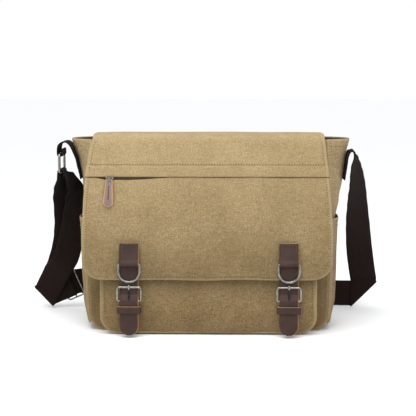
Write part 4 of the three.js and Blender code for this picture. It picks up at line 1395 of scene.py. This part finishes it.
def right_fold():
    outward = Vector((1, 0, -1)).normalized()
    crease = Vector((WEBBING_WIDTH, 0, WEBBING_WIDTH))
    return folded(RIGHT_FOLD, crease, outward, (0, -1, 0), RIGHT_FOLD_RADIUS)


def back_run():
    points = [(213, 108.4, 22.2), (190, 109, 22.3), (150, 111, 23.4), (100, 113, 27), (50, 114, 30),
              (0, 114, 32), (-50, 113, 34), (-100, 111, 37), (-150, 108, 39), (-178, 106, 39.4),
              (-193, 105.2, 40.4)]
    return upright(points, -1)


def left_lead(pairs, facing):
    points = [LEFT_FOLD - INTO_FOLD * distance + Vector((0, offset, 0)) for distance, offset in pairs]
    return upright(points, facing)


def left_fold(start, radius):
    return folded(LEFT_FOLD, CREASE_UP * CREASE_LENGTH, CREASE_OUT, start, radius)


def leaving(pairs, facing):
    points = [LEFT_FOLD + OUT_OF_FOLD * distance + Vector((0, offset, 0)) for distance, offset in pairs]
    return upright(points, facing)


def ring_passes():
    """Up from the fold on the bag's side, over the ring's lower bar, and down again on the outer side."""
    up = leaving([(8, -OUTER_RADIUS), (12, -5.2), (16, -6.9), (24, -9.8), (34, -13), (46, -18)], 1)
    down = leaving([(46, -13), (34, -9), (24, -6.6), (16, -4.2), (12, -2.6), (8, -INNER_RADIUS)], -1)
    bag_side = [(-216.5, 74, 78, -98), (-208, 65, 101, -107), (-201.5, 52, 126, -120), (-195.5, 34, 156, -136),
                (-192, 15, 186, -149), (-195.5, 4, 204, -165), (RING_X + BAR_WRAP + 2, 0, RING_LOW - 5, -180),
                (RING_X + BAR_WRAP, 0, RING_LOW, -180)]
    over_bar = []
    for k in range(1, 8):
        angle = k / 8 * math.pi
        over_bar.append((RING_X + BAR_WRAP * math.cos(angle), 0, RING_LOW + BAR_WRAP * math.sin(angle), -180))
    outer_side = [(-222, 79, 78, -98), (-215, 70, 101, -107), (-210.3, 56, 126, -120), (-208.2, 36, 156, -136),
                  (-209.3, 16, 186, -149), (-210.8, 4, 204, -165),
                  (RING_X - BAR_WRAP - 0.4, 0, RING_LOW - 5, -180), (RING_X - BAR_WRAP, 0, RING_LOW, -180)]
    return up + turned(bag_side + over_bar + outer_side[::-1]) + down


def shoulder_path():
    arriving = left_lead([(48, 3.8), (40, 3.8), (30, 3.8), (20, 3.8), (10, OUTER_RADIUS)], -1)
    inwards = [(8, INNER_RADIUS), (18, 1.3), (22, 0.7), (25, -0.35), (27.6, -1.4), (36, -1.4), (44, -1.4)]
    ending = left_lead(inwards, 1)
    stations = right_run() + right_fold() + back_run() + arriving
    stations += left_fold((0, 1, 0), OUTER_RADIUS) + ring_passes()
    return stations + left_fold((0, -1, 0), INNER_RADIUS) + ending


def fine(stations, step=2.6):
    """The same path with stations every few millimetres."""
    out = []
    for k in range(len(stations) - 1):
        a, b = stations[max(0, k - 1)], stations[k]
        c, d = stations[k + 1], stations[min(len(stations) - 1, k + 2)]
        length = (c[0] - b[0]).length
        gentle = length > 5
        pieces = max(1, int(round(length / step)))
        for n in range(pieces):
            t = n / pieces
            if gentle:
                slope_b = (c[0] - a[0]).normalized() * length
                slope_c = (d[0] - b[0]).normalized() * length
                centre = hermite(b[0], c[0], slope_b, slope_c, t)
            else:
                centre = b[0].lerp(c[0], t)
            out.append((centre, b[1].lerp(c[1], smooth(0, 1, t))))
    out.append(stations[-1])
    return out


def hermite(a, b, slope_a, slope_b, t):
    t2, t3 = t * t, t ** 3
    from_a = a * (2 * t3 - 3 * t2 + 1) + slope_a * (t3 - 2 * t2 + t)
    return from_a + b * (3 * t2 - 2 * t3) + slope_b * (t3 - t2)


def on_gusset(ridge, z):
    return profile(ridge, z) + CANVAS / 2 + 0.35 + WEBBING_THICKNESS / 2 + 0.4


def right_anchor(first):
    """The short webbing sewn to the right gusset, up to the top of its arc and on over the first stations."""
    anchor = [(on_gusset(RIGHT_RIDGE, z), 0, z, 0) for z in (208, 216, 224, 232)]
    anchor += [(191.8, 0, 239, 0), (193.6, 0, 244.5, 0), (195.3, 0, 247.2, 0), (RIGHT_ARC.x, 0, 247.6, 0)]
    piece = webbing("right strap anchor", fine(turned(anchor)) + first)
    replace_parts(piece, "right_strap_anchor")
    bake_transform(piece)


def left_tab():
    """The webbing sewn to the left gusset, round the ring's upper bar."""
    tab = [(-on_gusset(LEFT_RIDGE, z), 0, z, 0) for z in (209, 218, 227, 236, 245)]
    arc = [(-191.5, 254), (-195.5, 258.8), (-197.6, 260), (-200, 260.2), (-202.2, 260), (-205.2, 258.8),
           (-208.4, 256), (RING_X - BAR_WRAP, 250), (RING_X - BAR_WRAP, RING_TOP)]
    tab += [(x, 0, z, 0) for x, z in arc]
    for k in range(1, 7):
        angle = math.pi + k / 6 * math.pi
        tab.append((RING_X + BAR_WRAP * math.cos(angle), 0, RING_TOP + BAR_WRAP * math.sin(angle), 0))
    tab += [(RING_X + BAR_WRAP - 0.2, 0, 247.5, 0), (RING_X + BAR_WRAP - 0.6, 0, 250.5, 0)]
    loop = webbing("left strap tab", fine(turned(tab)))
    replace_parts(loop, "left_strap_tab", "left_tab_loop")
    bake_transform(loop)


def build_strap():
    run = fine(right_run())
    first = [station for station in run if station[0].x < 203 and station[0].z > 236]
    main = [station for station in run if not (station[0].x < 203 and station[0].z > 236)]
    right_anchor(first)
    left_tab()
    rest = shoulder_path()[len(right_run()):]
    stations = [first[-1]] + main[:-1] + fine([run[-1]] + rest)
    strap = webbing("shoulder strap webbing", stations)
    ride(strap, "shoulder_strap")
    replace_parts(strap, "shoulder_webbing")
    length = sum((b[0] - a[0]).length for a, b in zip(stations, stations[1:]))
    strap_metal()


def strap_metal():
    ring = wire("strap ring", rounded_rectangle(RING_HEIGHT, 45, 4), RECTANGLE_WIRE, METAL,
                lambda a, b: Vector((RING_X, b, RING_TOP - RING_HEIGHT / 2 + a)))
    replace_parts(ride(ring, "shoulder_strap"), "strap_ring")
    centre = LEFT_FOLD - INTO_FOLD * SLIDE_DISTANCE + Vector((0, 1.2, 0))
    along = -INTO_FOLD
    up = Vector((0, 1, 0)).cross(along)

    def on_plate(a, b):
        return centre + up * a + along * b

    frame_outline = rounded_rectangle(46, 26, 4)
    frame_wire = wire("strap slide buckle", frame_outline, 1.25, METAL, on_plate, 10)
    bar = tube("slide bar", [on_plate(-22, 0), on_plate(0, 0), on_plate(22, 0)], 1.15, METAL, 10)
    slider = join_objects("strap slide buckle", [frame_wire, bar])
    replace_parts(ride(slider, "shoulder_strap"), "strap_slide_buckle")


build_strap()


# ---------------------------------------------------------------- studio
def area_light(name, at, aim, size, power):
    data = bpy.data.lights.new(name, "AREA")
    data.shape = "DISK"
    data.size = size
    data.energy = power
    light = bpy.data.objects.new(name, data)
    bpy.context.collection.objects.link(light)
    light.location = at
    light.rotation_euler = (Vector(aim) - Vector(at)).to_track_quat("-Z", "Y").to_euler()
    return light


def build_studio():
    mesh = bpy.data.meshes.new("studio floor")
    far = 12.0
    mesh.from_pydata([(-far, -far, -0.0005), (far, -far, -0.0005), (far, far, -0.0005), (-far, far, -0.0005)],
                     [], [(0, 1, 2, 3)])
    floor = bpy.data.objects.new("studio floor", mesh)
    bpy.context.collection.objects.link(floor)
    material, tree, shader = new_material("studio floor", 0.9)
    shader.inputs["Base Color"].default_value = (0.97, 0.97, 0.97, 1)
    shader.inputs["Specular IOR Level"].default_value = 0.1
    mesh.materials.append(material)
    key = area_light("key light", (-0.15, -0.45, 1.05), (0, -0.05, 0.2), 0.9, 6.0)
    fill = area_light("fill light", (0.5, -1.6, 1.6), (0, 0, 0.12), 1.2, 3.5)
    sun_data = bpy.data.lights.new("overhead light", "SUN")
    sun_data.energy = 1.45
    sun_data.angle = math.radians(70)
    overhead = bpy.data.objects.new("overhead light", sun_data)
    bpy.context.collection.objects.link(overhead)
    overhead.rotation_euler = (math.radians(24), 0, math.radians(-10))
    left_side = area_light("left side light", (-1.5, -0.5, 0.55), (-0.18, 0, 0.16), 0.9, 3.0)
    right_side = area_light("right side light", (1.5, -0.5, 0.55), (0.18, 0, 0.16), 0.9, 2.0)
    world = bpy.data.worlds.new("studio")
    bpy.context.scene.world = world
    world.use_nodes = True
    tree = world.node_tree
    background = tree.nodes["Background"]
    direction = tree.nodes.new("ShaderNodeSeparateXYZ")
    tree.links.new(tree.nodes.new("ShaderNodeTexCoord").outputs["Generated"], direction.inputs["Vector"])
    sky = ramp_node(tree, direction.outputs["Z"], 0.24, 0.50, (1.0, 1.0, 1.0), (0.50, 0.51, 0.53))
    tree.links.new(sky, background.inputs["Color"])
    background.inputs["Strength"].default_value = 1.02
    bpy.context.scene.view_settings.view_transform = "Standard"


def build_camera():
    aim = Vector((-0.0004, -0.066, 0.1752))
    azimuth = math.radians(1.02)
    elevation = math.radians(7.5)
    distance = 1.40
    level = math.cos(elevation)
    away = Vector((math.sin(azimuth) * level, -math.cos(azimuth) * level, math.sin(elevation)))
    data = bpy.data.cameras.new("camera")
    data.sensor_width = 36
    data.lens = 90.2
    camera = bpy.data.objects.new("camera", data)
    bpy.context.collection.objects.link(camera)
    camera.location = aim + away * distance
    camera.rotation_euler = (-away).to_track_quat("-Z", "Y").to_euler()
    bpy.context.scene.camera = camera


build_studio()
build_camera()
